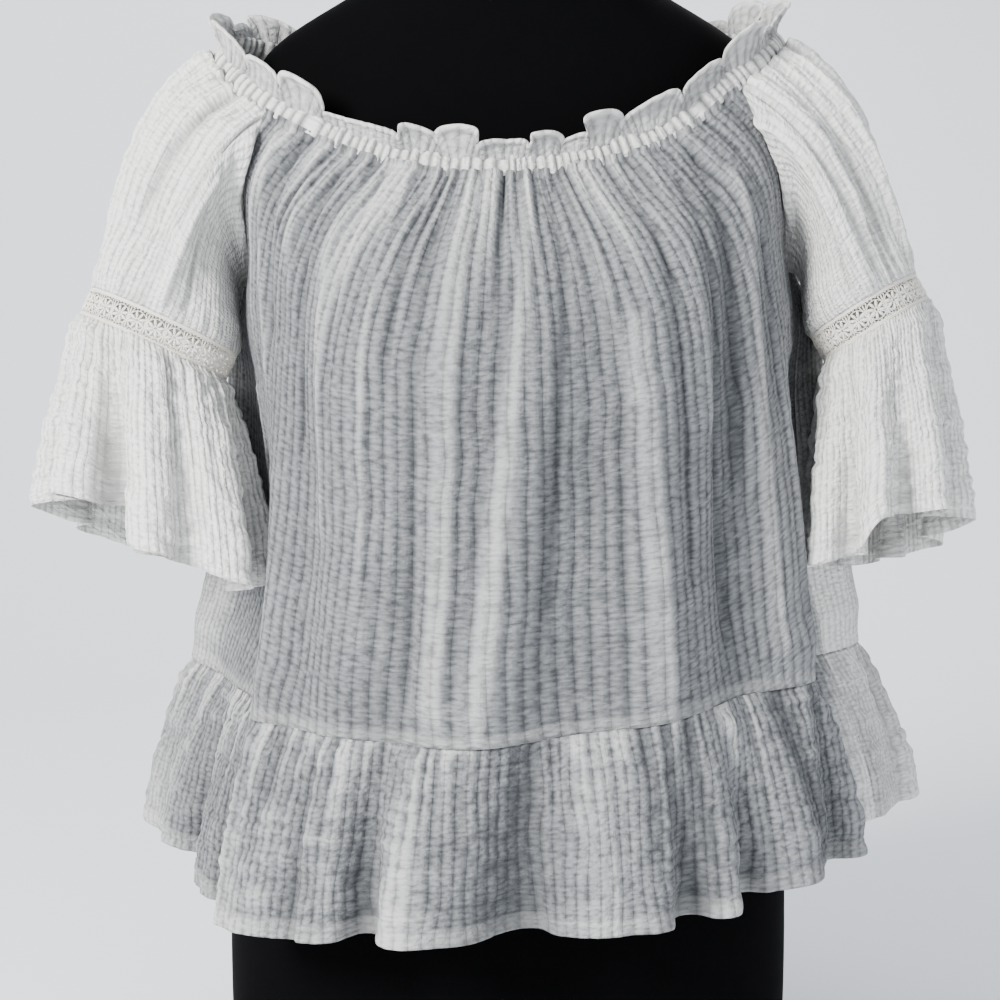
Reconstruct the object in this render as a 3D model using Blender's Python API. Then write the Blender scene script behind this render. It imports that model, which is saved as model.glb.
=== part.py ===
"""Peasant blouse in crinkled double gauze, worn by a limbless dress form.

Metres, +Z up. The blouse faces -Y and the viewer's right is +X. The origin is
the centre of the form's flat base. Tables are in millimetres and degrees.
Each cloth piece is a thin closed wall on a surface worked out from its rings.
Angles round the body are 0 at the front centre and grow towards +X. Turns
round a sleeve are 0 beside the body, 90 at the front and 180 outside.
"""
import bpy
import numpy as np

MM = 0.001

WALL = 1.2 * MM
SEAM_GAP = 0.3 * MM
RAGLAN_SEAM_GAP = 0.5 * MM
LACE_SEAM_GAP = 0.7 * MM
NECK_SEAM_GAP = 0.9 * MM

# The seams' places
RAGLAN_ANGLE = 62.0
SIDE_ANGLE = 90.0
UNDERARM_FALL = 0.36
LACE_DROP = 21 * MM

# How a sleeve leaves its top edge, and how far the curve keeps to that direction
SLEEVE_OUT = 0.80
SLEEVE_OUT_TURN = 0.10
SLEEVE_FRONT = 0.50
SLEEVE_DOWN = 0.45
SLEEVE_LEAVES = 1.15
SLEEVE_ARRIVES = 1.0

# The turns of a sleeve's round: each raglan seam, and the stretch round the neck
SEAM_TURN = 105
NECK_TURN = 360 - 2 * SEAM_TURN

# How a ruffle's or flounce's width and folds grow down its drop
RUFFLE_SWING = 1.6
FLOUNCE_SWING = 1.5
FOLD_GROWTH = 0.8

# A wall is drawn out at its bends, up to this much
MITRE_LIMIT = 1.8

# The neckline's casing and header frill
CASING_TALL = 12 * MM
CASING_THICK = 5 * MM
FRILL_TALL = 16 * MM
FRILL_WAVE = 5 * MM
FRILL_LOBES = 24

# Grid steps
RAGLAN_STEPS = 5
BODY_STEPS = 4
PANEL_COLUMNS = 36
RUFFLE_COLUMNS = 46
SHOULDER_STEPS = 8
SLEEVE_ROWS = 7
CUFF_STEPS = 28
FLOUNCE_ROWS = 4
RUFFLE_ROWS = 3
CASING_STEPS = 56
CASING_SIDES = 6
FRILL_STEPS = 96
FORM_STEPS = 32

# Directions round the body are spread evenly on an oval of these half sizes.
SPREAD_ACROSS = 200 * MM
SPREAD_DEEP = 140 * MM

NECK_COLUMNS = ("angle", "height", "lean")
NECKLINE = (
    (-180, 683, 0.40),
    (-135, 685, 0.45),
    (-90, 694, 0.50),
    (-77, 677, 0.45),
    (-62, 654, 0.40),
    (-37, 624, 0.35),
    (0, 611, 0.35),
    (25, 620, 0.35),
    (44, 638, 0.35),
    (59, 666, 0.40),
    (80, 694, 0.50),
    (100, 704, 0.50),
    (135, 692, 0.45),
    (180, 683, 0.40),
)

BODY_COLUMNS = ("fall", "left", "right", "front", "back", "square")
BODY_RINGS = (
    (0.00, 200, 188, 100, 85, 2.0),
    (0.06, 196, 189, 114, 95, 2.1),
    (0.14, 188, 190, 135, 108, 2.2),
    (0.25, 178, 188, 150, 119, 2.3),
    (0.40, 172, 187, 157, 125, 2.4),
    (0.60, 167, 186, 160, 130, 2.4),
    (0.75, 166, 187, 163, 134, 2.4),
    (0.88, 174, 193, 166, 139, 2.4),
    (1.00, 192, 207, 169, 146, 2.3),
)

SEAM_COLUMNS = ("angle", "height", "drop")
RUFFLE_SEAM = (
    (-180, 278, 118),
    (-135, 275, 118),
    (-90, 268, 118),
    (-45, 256, 130),
    (0, 252, 119),
    (25, 265, 125),
    (45, 275, 122),
    (90, 281, 118),
    (135, 280, 118),
    (180, 278, 118),
)

# A fold runs from top to low round the body, and its depth grows from start to full.
# Columns: top, low, width, depth, start, full
BODY_FOLDS = (
    (-116, -112, 19, 44, 0.20, 0.75),
    (-76, -64, 10, -10, 0.45, 0.95),
    (-52, -45, 7, 11, 0.30, 0.85),
    (-40, -38, 8, -5, 0.05, 0.60),
    (-28, -30, 8, 5, 0.00, 0.50),
    (-11, -10, 6, 7, 0.00, 0.40),
    (0, -18, 6, -5, 0.10, 0.70),
    (8, -3, 5, 7, 0.00, 0.50),
    (17, 9, 7, -6, 0.10, 0.70),
    (25, 23, 6, 7, 0.00, 0.60),
    (44, 40, 6, -7, 0.00, 0.50),
    (60, 57, 9, 16, 0.25, 0.80),
    (82, 76, 10, -12, 0.35, 0.95),
    (117, 113, 20, 60, 0.20, 0.75),
    (146, 148, 8, -9, 0.05, 0.70),
    (163, 161, 8, 8, 0.00, 0.60),
    (177, 179, 7, -7, 0.05, 0.65),
    (-168, -166, 8, 9, 0.00, 0.60),
    (-149, -150, 8, -8, 0.05, 0.70),
)

RUFFLE_FLARE = dict(across=34 * MM, front=26 * MM, back=26 * MM)
# Columns: angle, width, depth. The folds of the sleeves and flounces have the same.
RUFFLE_FOLDS = (
    (-171, 6, 9),
    (-160, 5, -9),
    (-149, 6, 8),
    (-137, 5, -10),
    (-126, 6, 9),
    (-113, 6, -9),
    (-101, 6, 6),
    (-88, 5, 7),
    (-76, 4, -12),
    (-63, 5, 7),
    (-51, 4, -15),
    (-38, 5, 9),
    (-28, 6, 4),
    (-20, 3, -11),
    (-14, 4, 8),
    (1, 5, -11),
    (11, 5, 8),
    (19, 3, 5),
    (25, 3, -11),
    (30, 3, 8),
    (36, 3, -10),
    (45, 5, 8),
    (56, 4, -11),
    (68, 6, 6),
    (80, 5, -12),
    (91, 5, 6),
    (109, 7, 14),
    (121, 6, -9),
    (133, 5, 9),
    (145, 6, -9),
    (158, 5, 9),
    (170, 6, -8),
    (180, 4, 7),
)

CUFF_COLUMNS = ("x", "y", "z", "long", "short", "turned", "tilt", "pitch")
CUFFS = dict(
    left=dict(
        lace=(-236, -18, 515, 52, 44, 30, 25, 10),
        hem=(-243, -40, 365, 84, 60, 38, 19, 17),
    ),
    right=dict(
        lace=(243, -18, 526, 61, 35, 80, 31, 10),
        hem=(258, -32, 364, 80, 49, 80, 12, 18),
    ),
)
SIDES = dict(left=-1, right=1)

SLEEVE_FOLDS = dict(
    left=((150, 14, 6), (118, 10, -6), (92, 10, 6), (200, 12, -6), (235, 12, 6), (62, 9, -4)),
    right=((152, 13, 6), (124, 9, -6), (98, 10, 6), (205, 12, -6), (240, 12, 6), (66, 9, -4)),
)
FLOUNCE_FOLDS = dict(
    left=(
        (2, 10, 8), (22, 8, -8), (45, 11, 7), (72, 9, -5), (92, 9, 6), (116, 8, -13), (138, 10, 8),
        (163, 8, -7), (186, 10, 7), (212, 9, -9), (240, 11, 8), (270, 9, -9), (300, 11, 8), (332, 9, -8),
    ),
    right=(
        (5, 10, -8), (28, 9, 8), (50, 9, -8), (74, 10, 8), (98, 8, -7), (122, 9, 7), (146, 8, -9),
        (170, 9, 7), (196, 9, -8), (224, 10, 8), (252, 9, -9), (282, 11, 8), (310, 9, -9), (338, 9, 8),
    ),
)

FORM_COLUMNS = ("height", "across", "front", "back")
FORM_RINGS = (
    (0, 194, 116, 116),
    (6, 197, 119, 119),
    (120, 198, 121, 124),
    (200, 193, 117, 122),
    (280, 172, 108, 108),
    (350, 150, 99, 90),
    (430, 148, 107, 92),
    (490, 155, 124, 100),
    (530, 159, 132, 104),
    (570, 163, 118, 103),
    (605, 169, 90, 97),
    (645, 178, 72, 84),
    (675, 180, 60, 70),
    (698, 170, 54, 64),
    (717, 143, 50, 60),
    (737, 106, 47, 55),
    (755, 77, 45, 52),
    (778, 61, 45, 51),
    (812, 58, 44, 49),
    (820, 52, 38, 43),
)
FORM_SQUARE = 2.3

COLOURS = dict(
    cloth=((0.80, 0.79, 0.76), 0.92),
    lace=((0.78, 0.74, 0.66), 0.90),
    form=((0.012, 0.012, 0.014), 0.85),
)


def column(rows, names, name, scale=1.0):
    """One named column of a table, scaled to metres where it is a length."""
    place = names.index(name)
    return np.array([row[place] for row in rows], dtype=float) * scale


def through(keys, values, at):
    """Smooth curve through a table's values, by cubic Hermite with averaged slopes."""
    slopes = np.gradient(values, keys)
    at = np.clip(at, keys[0], keys[-1])
    row = np.clip(np.searchsorted(keys, at, side="right") - 1, 0, len(keys) - 2)
    span = keys[row + 1] - keys[row]
    s = (at - keys[row]) / span
    rise = 3 * s**2 - 2 * s**3
    value = values[row] * (1 - rise) + values[row + 1] * rise
    leave = slopes[row] * span * (s**3 - 2 * s**2 + s)
    arrive = slopes[row + 1] * span * (s**3 - s**2)
    return value + leave + arrive


def wrapped(angle):
    """The angle in degrees between -180 and 180."""
    return (np.asarray(angle, dtype=float) + 180) % 360 - 180


def ease(x):
    """0 below 0, 1 above 1 and smooth between."""
    x = np.clip(x, 0, 1)
    return x * x * (3 - 2 * x)


def unit(vectors):
    return vectors / np.maximum(np.linalg.norm(vectors, axis=-1, keepdims=True), 1e-12)


def stack(x, y, z):
    return np.stack(np.broadcast_arrays(x, y, z), axis=-1)


def level_ring(angle, across_left, across_right, front, back, square):
    """Point and outward direction, seen from above, on a rounded ring round the body."""
    turn = np.radians(angle)
    x, y = SPREAD_ACROSS * np.sin(turn), -SPREAD_DEEP * np.cos(turn)
    across = np.where(x > 0, across_right, across_left)
    deep = np.where(y < 0, front, back)
    reach = (np.abs(x / across) ** square + np.abs(y / deep) ** square) ** (-1 / square)
    x, y = x * reach, y * reach
    out_x = np.sign(x) * np.abs(x / across) ** (square - 1) / across
    out_y = np.sign(y) * np.abs(y / deep) ** (square - 1) / deep
    return stack(x, y, 0), unit(stack(out_x, out_y, 0))


def neck_height(angle):
    keys = column(NECKLINE, NECK_COLUMNS, "angle")
    return through(keys, column(NECKLINE, NECK_COLUMNS, "height", MM), wrapped(angle))


def seam_value(angle, name):
    keys = column(RUFFLE_SEAM, SEAM_COLUMNS, "angle")
    return through(keys, column(RUFFLE_SEAM, SEAM_COLUMNS, name, MM), wrapped(angle))


def fold_wave(angle, fall, rows):
    """Sum of the long folds: each is a soft ridge or trough that wanders and deepens."""
    total = 0.0
    for top, low, width, depth, start, full in rows:
        centre = top + (low - top) * fall
        away = wrapped(angle - centre) / width
        grown = ease((fall - start) / (full - start))
        total = total + depth * MM * grown * np.exp(-away**2)
    return total


def pleat_wave(angle, rows):
    total = 0.0
    for centre, width, depth in rows:
        total = total + depth * MM * np.exp(-((wrapped(angle - centre) / width) ** 2))
    return total


def body_ring(angle, fall):
    """Ring of the body cloth without its folds, and the way out from it."""
    keys = column(BODY_RINGS, BODY_COLUMNS, "fall")
    sizes = [through(keys, column(BODY_RINGS, BODY_COLUMNS, name, MM), fall)
             for name in ("left", "right", "front", "back")]
    square = through(keys, column(BODY_RINGS, BODY_COLUMNS, "square"), fall)
    return level_ring(angle, *sizes, square)


def body_point(angle, fall):
    """Cloth of the body. fall is 0 at the neckline and 1 at the ruffle's seam."""
    point, out = body_ring(angle, fall)
    point = point + out * fold_wave(angle, fall, BODY_FOLDS)[..., None]
    top, low = neck_height(angle), seam_value(angle, "height")
    return point + stack(0, 0, top + (low - top) * fall)


def ruffle_point(angle, drop):
    """Cloth of the ruffle. drop is 0 at its seam and 1 at its hem."""
    point = body_point(angle, np.ones_like(angle))
    turn = np.radians(angle)
    flare_deep = np.where(np.cos(turn) > 0, RUFFLE_FLARE["front"], RUFFLE_FLARE["back"])
    flare = stack(RUFFLE_FLARE["across"] * np.sin(turn), -flare_deep * np.cos(turn), 0)
    out = body_ring(angle, np.ones_like(angle))[1]
    swing = 1 - (1 - drop) ** RUFFLE_SWING
    pleats = pleat_wave(angle, RUFFLE_FOLDS) * drop**FOLD_GROWTH
    point = point + flare * swing[..., None] + out * pleats[..., None]
    return point - stack(0, 0, seam_value(angle, "drop") * drop)


def cuff_values(side, place):
    return dict(zip(CUFF_COLUMNS, CUFFS[side][place]))


def cuff_point(side, place, turn):
    """Point on a sleeve's tilted oval, and the way out from its centre."""
    size = cuff_values(side, place)
    inward = -SIDES[side]
    turned = np.radians(size["turned"])
    own = np.radians(turn) - turned
    along, beside = size["long"] * MM * np.cos(own), size["short"] * MM * np.sin(own)
    to_body = along * np.cos(turned) - beside * np.sin(turned)
    to_front = along * np.sin(turned) + beside * np.cos(turned)
    low = to_body * np.tan(np.radians(size["tilt"])) - to_front * np.tan(np.radians(size["pitch"]))
    from_centre = stack(inward * to_body, -to_front, -low)
    centre = np.array([size["x"], size["y"], size["z"]]) * MM
    return centre + from_centre, unit(from_centre)


def cuff_axis(side, place):
    """Way down a sleeve at one of its ovals, square to the oval's plane."""
    size = cuff_values(side, place)
    tilt, pitch = np.tan(np.radians(size["tilt"])), np.tan(np.radians(size["pitch"]))
    return unit(np.array([SIDES[side] * tilt, pitch, -1.0]))


def raglan_angle(fall):
    """Angle of the raglan seam from the panel's own centre, at a fall."""
    way = np.clip(fall / UNDERARM_FALL, 0, 1)
    return RAGLAN_ANGLE + (SIDE_ANGLE - RAGLAN_ANGLE) * way**2


def sleeve_start(side, place):
    """Top edge of a sleeve. place runs 0-1 down the front seam, 1-2 up the back, 2-3 round the neck."""
    sign = SIDES[side]
    front_fall = UNDERARM_FALL * np.clip(1 - np.abs(place - 1), 0, 1)
    seam = raglan_angle(front_fall)
    behind = np.where(place > 1, 180 - seam, seam)
    round_neck = 180 - RAGLAN_ANGLE + (2 * RAGLAN_ANGLE - 180) * (place - 2)
    angle = np.where(place > 2, round_neck, behind)
    fall = np.where(place > 2, 0.0, front_fall)
    return body_point(sign * angle, fall)


def sleeve_turn(place):
    """Turn round the sleeve for each place on its top edge."""
    down, up = SEAM_TURN * (1 - place), -SEAM_TURN * (place - 1)
    over = -SEAM_TURN - NECK_TURN * (place - 2)
    return np.where(place < 1, down, np.where(place < 2, up, over))


def sleeve_point(side, place, way):
    """Cloth of a raglan sleeve. way is 0 at its top edge and 1 at the lace."""
    sign = SIDES[side]
    turn = sleeve_turn(place)
    start = sleeve_start(side, place)
    end, out = cuff_point(side, "lace", turn)
    t = np.radians(turn)
    down = SLEEVE_DOWN * (np.clip(np.cos(t), 0, 1) ** 2 - 1)
    leave = unit(stack(sign * (SLEEVE_OUT - SLEEVE_OUT_TURN * np.cos(t)), -SLEEVE_FRONT * np.sin(t), down))
    reach = np.linalg.norm(end - start, axis=-1, keepdims=True)
    w = way[..., None]
    rise = 3 * w**2 - 2 * w**3
    point = start * (1 - rise) + end * rise
    point = point + leave * reach * SLEEVE_LEAVES * (w**3 - 2 * w**2 + w)
    point = point + cuff_axis(side, "lace") * reach * SLEEVE_ARRIVES * (w**3 - w**2)
    folds = pleat_wave(turn, SLEEVE_FOLDS[side]) * np.sin(np.pi * np.clip(way, 0, 1)) ** FOLD_GROWTH
    return point + out * folds[..., None]


def lace_point(side, turn, way):
    """Lace band: the cuff's oval carried down its own axis."""
    point = cuff_point(side, "lace", turn)[0]
    return point + cuff_axis(side, "lace") * LACE_DROP * way[..., None]


def flounce_point(side, turn, drop):
    """Cloth of a sleeve's flounce. drop is 0 at the lace and 1 at the hem."""
    start = lace_point(side, turn, np.ones_like(turn))
    end, out = cuff_point(side, "hem", turn)
    d = drop[..., None]
    level = start + (end - start) * (1 - (1 - d) ** FLOUNCE_SWING)
    height = start + (end - start) * d
    point = np.concatenate([level[..., :2], height[..., 2:]], axis=-1)
    folds = pleat_wave(turn, FLOUNCE_FOLDS[side]) * drop**FOLD_GROWTH
    return point + out * folds[..., None]


def neck_frame(angle):
    """Neckline point, the way up the header from it and the way out."""
    point = body_point(angle, np.zeros_like(angle))
    out = body_ring(angle, np.zeros_like(angle))[1]
    keys = column(NECKLINE, NECK_COLUMNS, "angle")
    lean = through(keys, column(NECKLINE, NECK_COLUMNS, "lean"), wrapped(angle))
    up = unit(stack(0, 0, 1) - out * lean[..., None])
    step = body_point(angle + 0.5, np.zeros_like(angle)) - body_point(angle - 0.5, np.zeros_like(angle))
    along = unit(step)
    up = unit(up - along * np.sum(up * along, axis=-1, keepdims=True))
    return point, up, np.cross(along, up)


def frill_point(angle, way):
    """Header frill above the casing, waved more towards its top edge."""
    point, up, out = neck_frame(angle)
    wave = FRILL_WAVE * np.sin(np.radians(angle * FRILL_LOBES)) * way
    foot = CASING_TALL + 2 * SEAM_GAP
    lift = foot + FRILL_TALL * way
    upright = unit(up + stack(0, 0, 1) * way[..., None])
    return point + upright * lift[..., None] + out * wave[..., None]


def grid_of(function, first, second):
    """Grid of surface points, rows along second and columns along first."""
    columns, rows = np.meshgrid(first, second)
    return function(columns, rows)


def grid_normals(grid, closed, sign=1):
    """Outward directions on a grid, by the differences of its neighbours."""
    if closed:
        across = np.roll(grid, -1, axis=1) - np.roll(grid, 1, axis=1)
    else:
        across = np.gradient(grid, axis=1)
    return unit(np.cross(np.gradient(grid, axis=0), across)) * sign


def share(*edges):
    """Gives edges that meet in a seam one direction, so that their walls end face to face."""
    both = unit(sum(edges))
    for edge in edges:
        edge[...] = both


def follow(edge, leader):
    """Gives an edge its neighbour's directions, where the two have different numbers of points."""
    own, others = np.linspace(0, 1, len(edge)), np.linspace(0, 1, len(leader))
    edge[...] = unit(np.stack([np.interp(own, others, part) for part in leader.T], axis=-1))


def pulled_in(grid, top=0.0, bottom=0.0, sides=0.0):
    """The grid with its edges drawn back from their seams."""
    grid = grid.copy()
    if top:
        grid[0] += unit(grid[1] - grid[0]) * top
    if bottom:
        grid[-1] += unit(grid[-2] - grid[-1]) * bottom
    if sides:
        grid[:, 0] += unit(grid[:, 1] - grid[:, 0]) * sides
        grid[:, -1] += unit(grid[:, -2] - grid[:, -1]) * sides
    return grid


def mitred(grid, normals):
    """Directions drawn out at the bends of deep pleats, so that the wall keeps its thickness there."""
    faces = unit(np.cross(grid[1:, 1:] - grid[:-1, :-1], grid[:-1, 1:] - grid[1:, :-1]))
    total, count = np.zeros(grid.shape[:2]), np.zeros(grid.shape[:2])
    ends = (slice(None, -1), slice(1, None))
    for row in ends:
        for col in ends:
            total[row, col] += np.abs(np.sum(normals[row, col] * faces, axis=-1))
            count[row, col] += 1
    return normals * np.minimum(count / np.maximum(total, 1e-9), MITRE_LIMIT)[..., None]


def wall_mesh(grid, normals, closed):
    """Vertices and faces of a closed wall with the grid in its middle."""
    rows, columns = grid.shape[:2]
    half = normals * WALL / 2
    outer = (grid + half).reshape(-1, 3)
    inner = (grid - half).reshape(-1, 3)
    count = rows * columns
    spans = columns if closed else columns - 1

    def at(row, col, skin=0):
        return skin * count + row * columns + col % columns

    faces = []
    for row in range(rows - 1):
        for col in range(spans):
            corners = [(row, col), (row + 1, col), (row + 1, col + 1), (row, col + 1)]
            faces.append([at(*corner) for corner in corners])
            faces.append([at(*corner, skin=1) for corner in reversed(corners)])
    for col in range(spans):
        faces.append([at(0, col), at(0, col + 1), at(0, col + 1, 1), at(0, col, 1)])
        last = rows - 1
        faces.append([at(last, col + 1), at(last, col), at(last, col, 1), at(last, col + 1, 1)])
    if not closed:
        for row in range(rows - 1):
            faces.append([at(row + 1, 0), at(row, 0), at(row, 0, 1), at(row + 1, 0, 1)])
            end = columns - 1
            faces.append([at(row, end), at(row + 1, end), at(row + 1, end, 1), at(row, end, 1)])
    return np.concatenate([outer, inner]), faces


def material(name):
    colour, roughness = COLOURS[name]
    shade = bpy.data.materials.new(name)
    shade.use_nodes = True
    shader = shade.node_tree.nodes["Principled BSDF"]
    shader.inputs["Base Color"].default_value = (*colour, 1)
    shader.inputs["Roughness"].default_value = roughness
    return shade


def add_object(name, vertices, faces, shade):
    mesh = bpy.data.meshes.new(name)
    mesh.from_pydata([tuple(v) for v in vertices], [], faces)
    mesh.materials.append(shade)
    mesh.validate()
    mesh.shade_smooth()
    mesh.set_sharp_from_angle(angle=np.radians(50))
    piece = bpy.data.objects.new(name, mesh)
    bpy.context.scene.collection.objects.link(piece)
    return piece


def add_wall(name, grid, normals, closed, shade, sign=1):
    """A wall as its own object. With sign -1 the grid's columns run the other way round."""
    if sign < 0:
        grid, normals = grid[:, ::-1], normals[:, ::-1]
    vertices, faces = wall_mesh(grid, normals, closed)
    return add_object(name, vertices, faces, shade)


def panel_grid(middle):
    """Grid of the front (middle 0) or back (middle 180) body panel."""
    falls = np.concatenate([
        np.linspace(0, UNDERARM_FALL, RAGLAN_STEPS + 1),
        np.linspace(UNDERARM_FALL, 1, BODY_STEPS + 1)[1:],
    ])
    spread = np.linspace(-1, 1, PANEL_COLUMNS + 1)
    angle = middle + np.outer(raglan_angle(falls), spread)
    fall = np.repeat(falls[:, None], PANEL_COLUMNS + 1, axis=1)
    return body_point(angle, fall)


def ruffle_grid(middle):
    spread = np.linspace(-1, 1, RUFFLE_COLUMNS + 1)
    return grid_of(ruffle_point, middle + SIDE_ANGLE * spread, np.linspace(0, 1, RUFFLE_ROWS + 1))


def sleeve_grid(side):
    seam = np.linspace(0, 2, 2 * RAGLAN_STEPS + 1)
    over = np.linspace(2, 3, SHOULDER_STEPS + 1)[1:-1]
    ways = np.linspace(0, 1, SLEEVE_ROWS + 1)
    return grid_of(lambda place, way: sleeve_point(side, place, way), np.concatenate([seam, over]), ways)


def ring_grid(side, function, rows):
    turns = np.arange(CUFF_STEPS) * 360 / CUFF_STEPS
    return grid_of(lambda turn, way: function(side, turn, way), turns, np.linspace(0, 1, rows + 1))


def join_raglan(sleeve, front, back, sign):
    """Shares the directions of a sleeve's top edge with the panels' raglan edges."""
    front_edge, back_edge = (-1, 0) if sign > 0 else (0, -1)
    steps = RAGLAN_STEPS
    share(front[:steps, front_edge], sleeve[0, :steps])
    share(back[:steps, back_edge], sleeve[0, 2 * steps:steps:-1])
    share(front[steps, front_edge], back[steps, back_edge])
    share(front[steps, front_edge], sleeve[0, steps])
    back[steps, back_edge] = front[steps, front_edge]


def build_body_and_sleeves(cloth):
    """Panels and raglan sleeves together, because their seams share directions."""
    panels = dict(front=panel_grid(0), back=panel_grid(180),
                  ruffle_front=ruffle_grid(0), ruffle_back=ruffle_grid(180))
    ways = {name: grid_normals(grid, False) for name, grid in panels.items()}
    sleeves = {side: sleeve_grid(side) for side in SIDES}
    sleeve_ways = {side: grid_normals(sleeves[side], True, -SIDES[side]) for side in SIDES}
    for front, back in (("front", "back"), ("ruffle_front", "ruffle_back")):
        share(ways[front][:, 0], ways[back][:, -1])
        share(ways[front][:, -1], ways[back][:, 0])
    for panel, ruffle in (("front", "ruffle_front"), ("back", "ruffle_back")):
        follow(ways[ruffle][0], ways[panel][-1])
    for side, sign in SIDES.items():
        join_raglan(sleeve_ways[side], ways["front"], ways["back"], sign)
    half = SEAM_GAP / 2
    for name, grid in panels.items():
        pleated = "ruffle" in name
        top, bottom = (half, 0.0) if pleated else (NECK_SEAM_GAP, half)
        skins = mitred(grid, ways[name]) if pleated else ways[name]
        add_wall(name, pulled_in(grid, top, bottom, half), skins, False, cloth)
    for side, grid in sleeves.items():
        trimmed = pulled_in(grid, RAGLAN_SEAM_GAP - half, LACE_SEAM_GAP - half)
        round_neck = np.r_[0, 2 * RAGLAN_STEPS:grid.shape[1]]
        trimmed[0, round_neck] = pulled_in(grid, NECK_SEAM_GAP)[0, round_neck]
        add_wall("sleeve_" + side, trimmed, sleeve_ways[side], True, cloth, -SIDES[side])


def build_cuff(side, cloth, lace):
    """Lace band and flounce of one sleeve."""
    sign, half = SIDES[side], SEAM_GAP / 2
    band, flounce = ring_grid(side, lace_point, 1), ring_grid(side, flounce_point, FLOUNCE_ROWS)
    band_ways, flounce_ways = grid_normals(band, True, sign), grid_normals(flounce, True, sign)
    share(band_ways[-1], flounce_ways[0])
    add_wall("lace_" + side, pulled_in(band, half, half), band_ways, True, lace, sign)
    add_wall("flounce_" + side, pulled_in(flounce, half), flounce_ways, True, cloth, sign)


def build_casing(cloth):
    """Elastic casing: an oval tube laid round the neckline."""
    angles = -np.arange(CASING_STEPS) * 360 / CASING_STEPS
    point, up, out = neck_frame(angles)
    centre = point + up * (CASING_TALL / 2 + SEAM_GAP / 2)
    rows = []
    for side in np.arange(CASING_SIDES) * 2 * np.pi / CASING_SIDES:
        rows.append(centre + out * np.cos(side) * CASING_THICK / 2 + up * np.sin(side) * CASING_TALL / 2)
    ring = np.stack(rows)
    faces = []
    for row in range(CASING_SIDES):
        for col in range(CASING_STEPS):
            after, beside = (row + 1) % CASING_SIDES, (col + 1) % CASING_STEPS
            corners = [(row, col), (after, col), (after, beside), (row, beside)]
            faces.append([r * CASING_STEPS + c for r, c in corners])
    add_object("neck_casing", ring.reshape(-1, 3), faces, cloth)


def build_frill(cloth):
    angles = np.arange(FRILL_STEPS) * 360 / FRILL_STEPS
    grid = grid_of(frill_point, angles, np.array([1.0, 0.5, 0.0]))
    add_wall("neck_frill", grid, grid_normals(grid, True), True, cloth)


def build_form(shade):
    """Smooth torso from a flat base to a flat neck stump."""
    keys = column(FORM_RINGS, FORM_COLUMNS, "height", MM)
    across, front, back = (column(FORM_RINGS, FORM_COLUMNS, name, MM) for name in FORM_COLUMNS[1:])
    angles = np.arange(FORM_STEPS) * 360 / FORM_STEPS
    rings = [level_ring(angles, a, a, f, b, FORM_SQUARE)[0] + stack(0, 0, np.full(FORM_STEPS, z))
             for z, a, f, b in zip(keys, across, front, back)]
    faces = [list(range(FORM_STEPS))[::-1]]
    for ring in range(len(rings) - 1):
        for col in range(FORM_STEPS):
            beside = (col + 1) % FORM_STEPS
            low, high = ring * FORM_STEPS, (ring + 1) * FORM_STEPS
            faces.append([low + col, low + beside, high + beside, high + col])
    faces.append([(len(rings) - 1) * FORM_STEPS + col for col in range(FORM_STEPS)])
    add_object("dress_form", np.concatenate(rings), faces, shade)


def main():
    for piece in list(bpy.data.objects):
        bpy.data.objects.remove(piece, do_unlink=True)
    cloth, lace, form = material("cloth"), material("lace"), material("form")
    build_body_and_sleeves(cloth)
    for side in SIDES:
        build_cuff(side, cloth, lace)
    build_casing(cloth)
    build_frill(cloth)
    build_form(form)


main()
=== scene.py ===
# %% [markdown]
# # A peasant blouse in crinkled double gauze
# This lesson dresses a plain black form in a gathered off-shoulder blouse. The
# blouse is cut from cream double gauze, a cloth of two loose layers that are
# tacked together and crinkle up when they are washed. Each cloth piece is a thin
# wall on a surface that is worked out from rings. The creases are laid over that
# surface in three sizes: long folds, gathers and listed creases, and the crinkle
# of the cloth itself.

# %% Load the imported frame
import math

import bpy
import numpy as np
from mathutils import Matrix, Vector
from mathutils.bvhtree import BVHTree


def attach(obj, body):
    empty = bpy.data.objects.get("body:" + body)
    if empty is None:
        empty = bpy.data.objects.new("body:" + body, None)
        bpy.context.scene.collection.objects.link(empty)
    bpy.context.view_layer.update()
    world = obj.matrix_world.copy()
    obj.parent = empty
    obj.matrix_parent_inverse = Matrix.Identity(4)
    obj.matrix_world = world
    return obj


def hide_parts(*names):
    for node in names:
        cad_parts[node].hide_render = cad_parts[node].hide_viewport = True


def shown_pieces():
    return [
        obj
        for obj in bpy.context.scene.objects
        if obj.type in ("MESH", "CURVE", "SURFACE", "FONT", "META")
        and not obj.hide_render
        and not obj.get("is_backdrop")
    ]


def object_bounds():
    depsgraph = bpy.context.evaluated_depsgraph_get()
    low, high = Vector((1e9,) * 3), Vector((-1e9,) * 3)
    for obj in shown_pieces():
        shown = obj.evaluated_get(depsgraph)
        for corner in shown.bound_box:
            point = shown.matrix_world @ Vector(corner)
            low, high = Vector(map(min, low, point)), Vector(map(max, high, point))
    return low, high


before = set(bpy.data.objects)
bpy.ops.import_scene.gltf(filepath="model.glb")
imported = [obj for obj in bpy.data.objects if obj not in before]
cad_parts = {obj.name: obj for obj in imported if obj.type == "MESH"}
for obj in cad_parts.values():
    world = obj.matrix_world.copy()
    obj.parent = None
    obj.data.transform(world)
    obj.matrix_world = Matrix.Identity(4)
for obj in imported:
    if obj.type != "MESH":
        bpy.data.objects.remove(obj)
cad_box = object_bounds()
MM = 0.001
SIDES = dict(left=-1, right=1)
print("CAD box", [[round(float(value), 4) for value in corner] for corner in cad_box])

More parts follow.
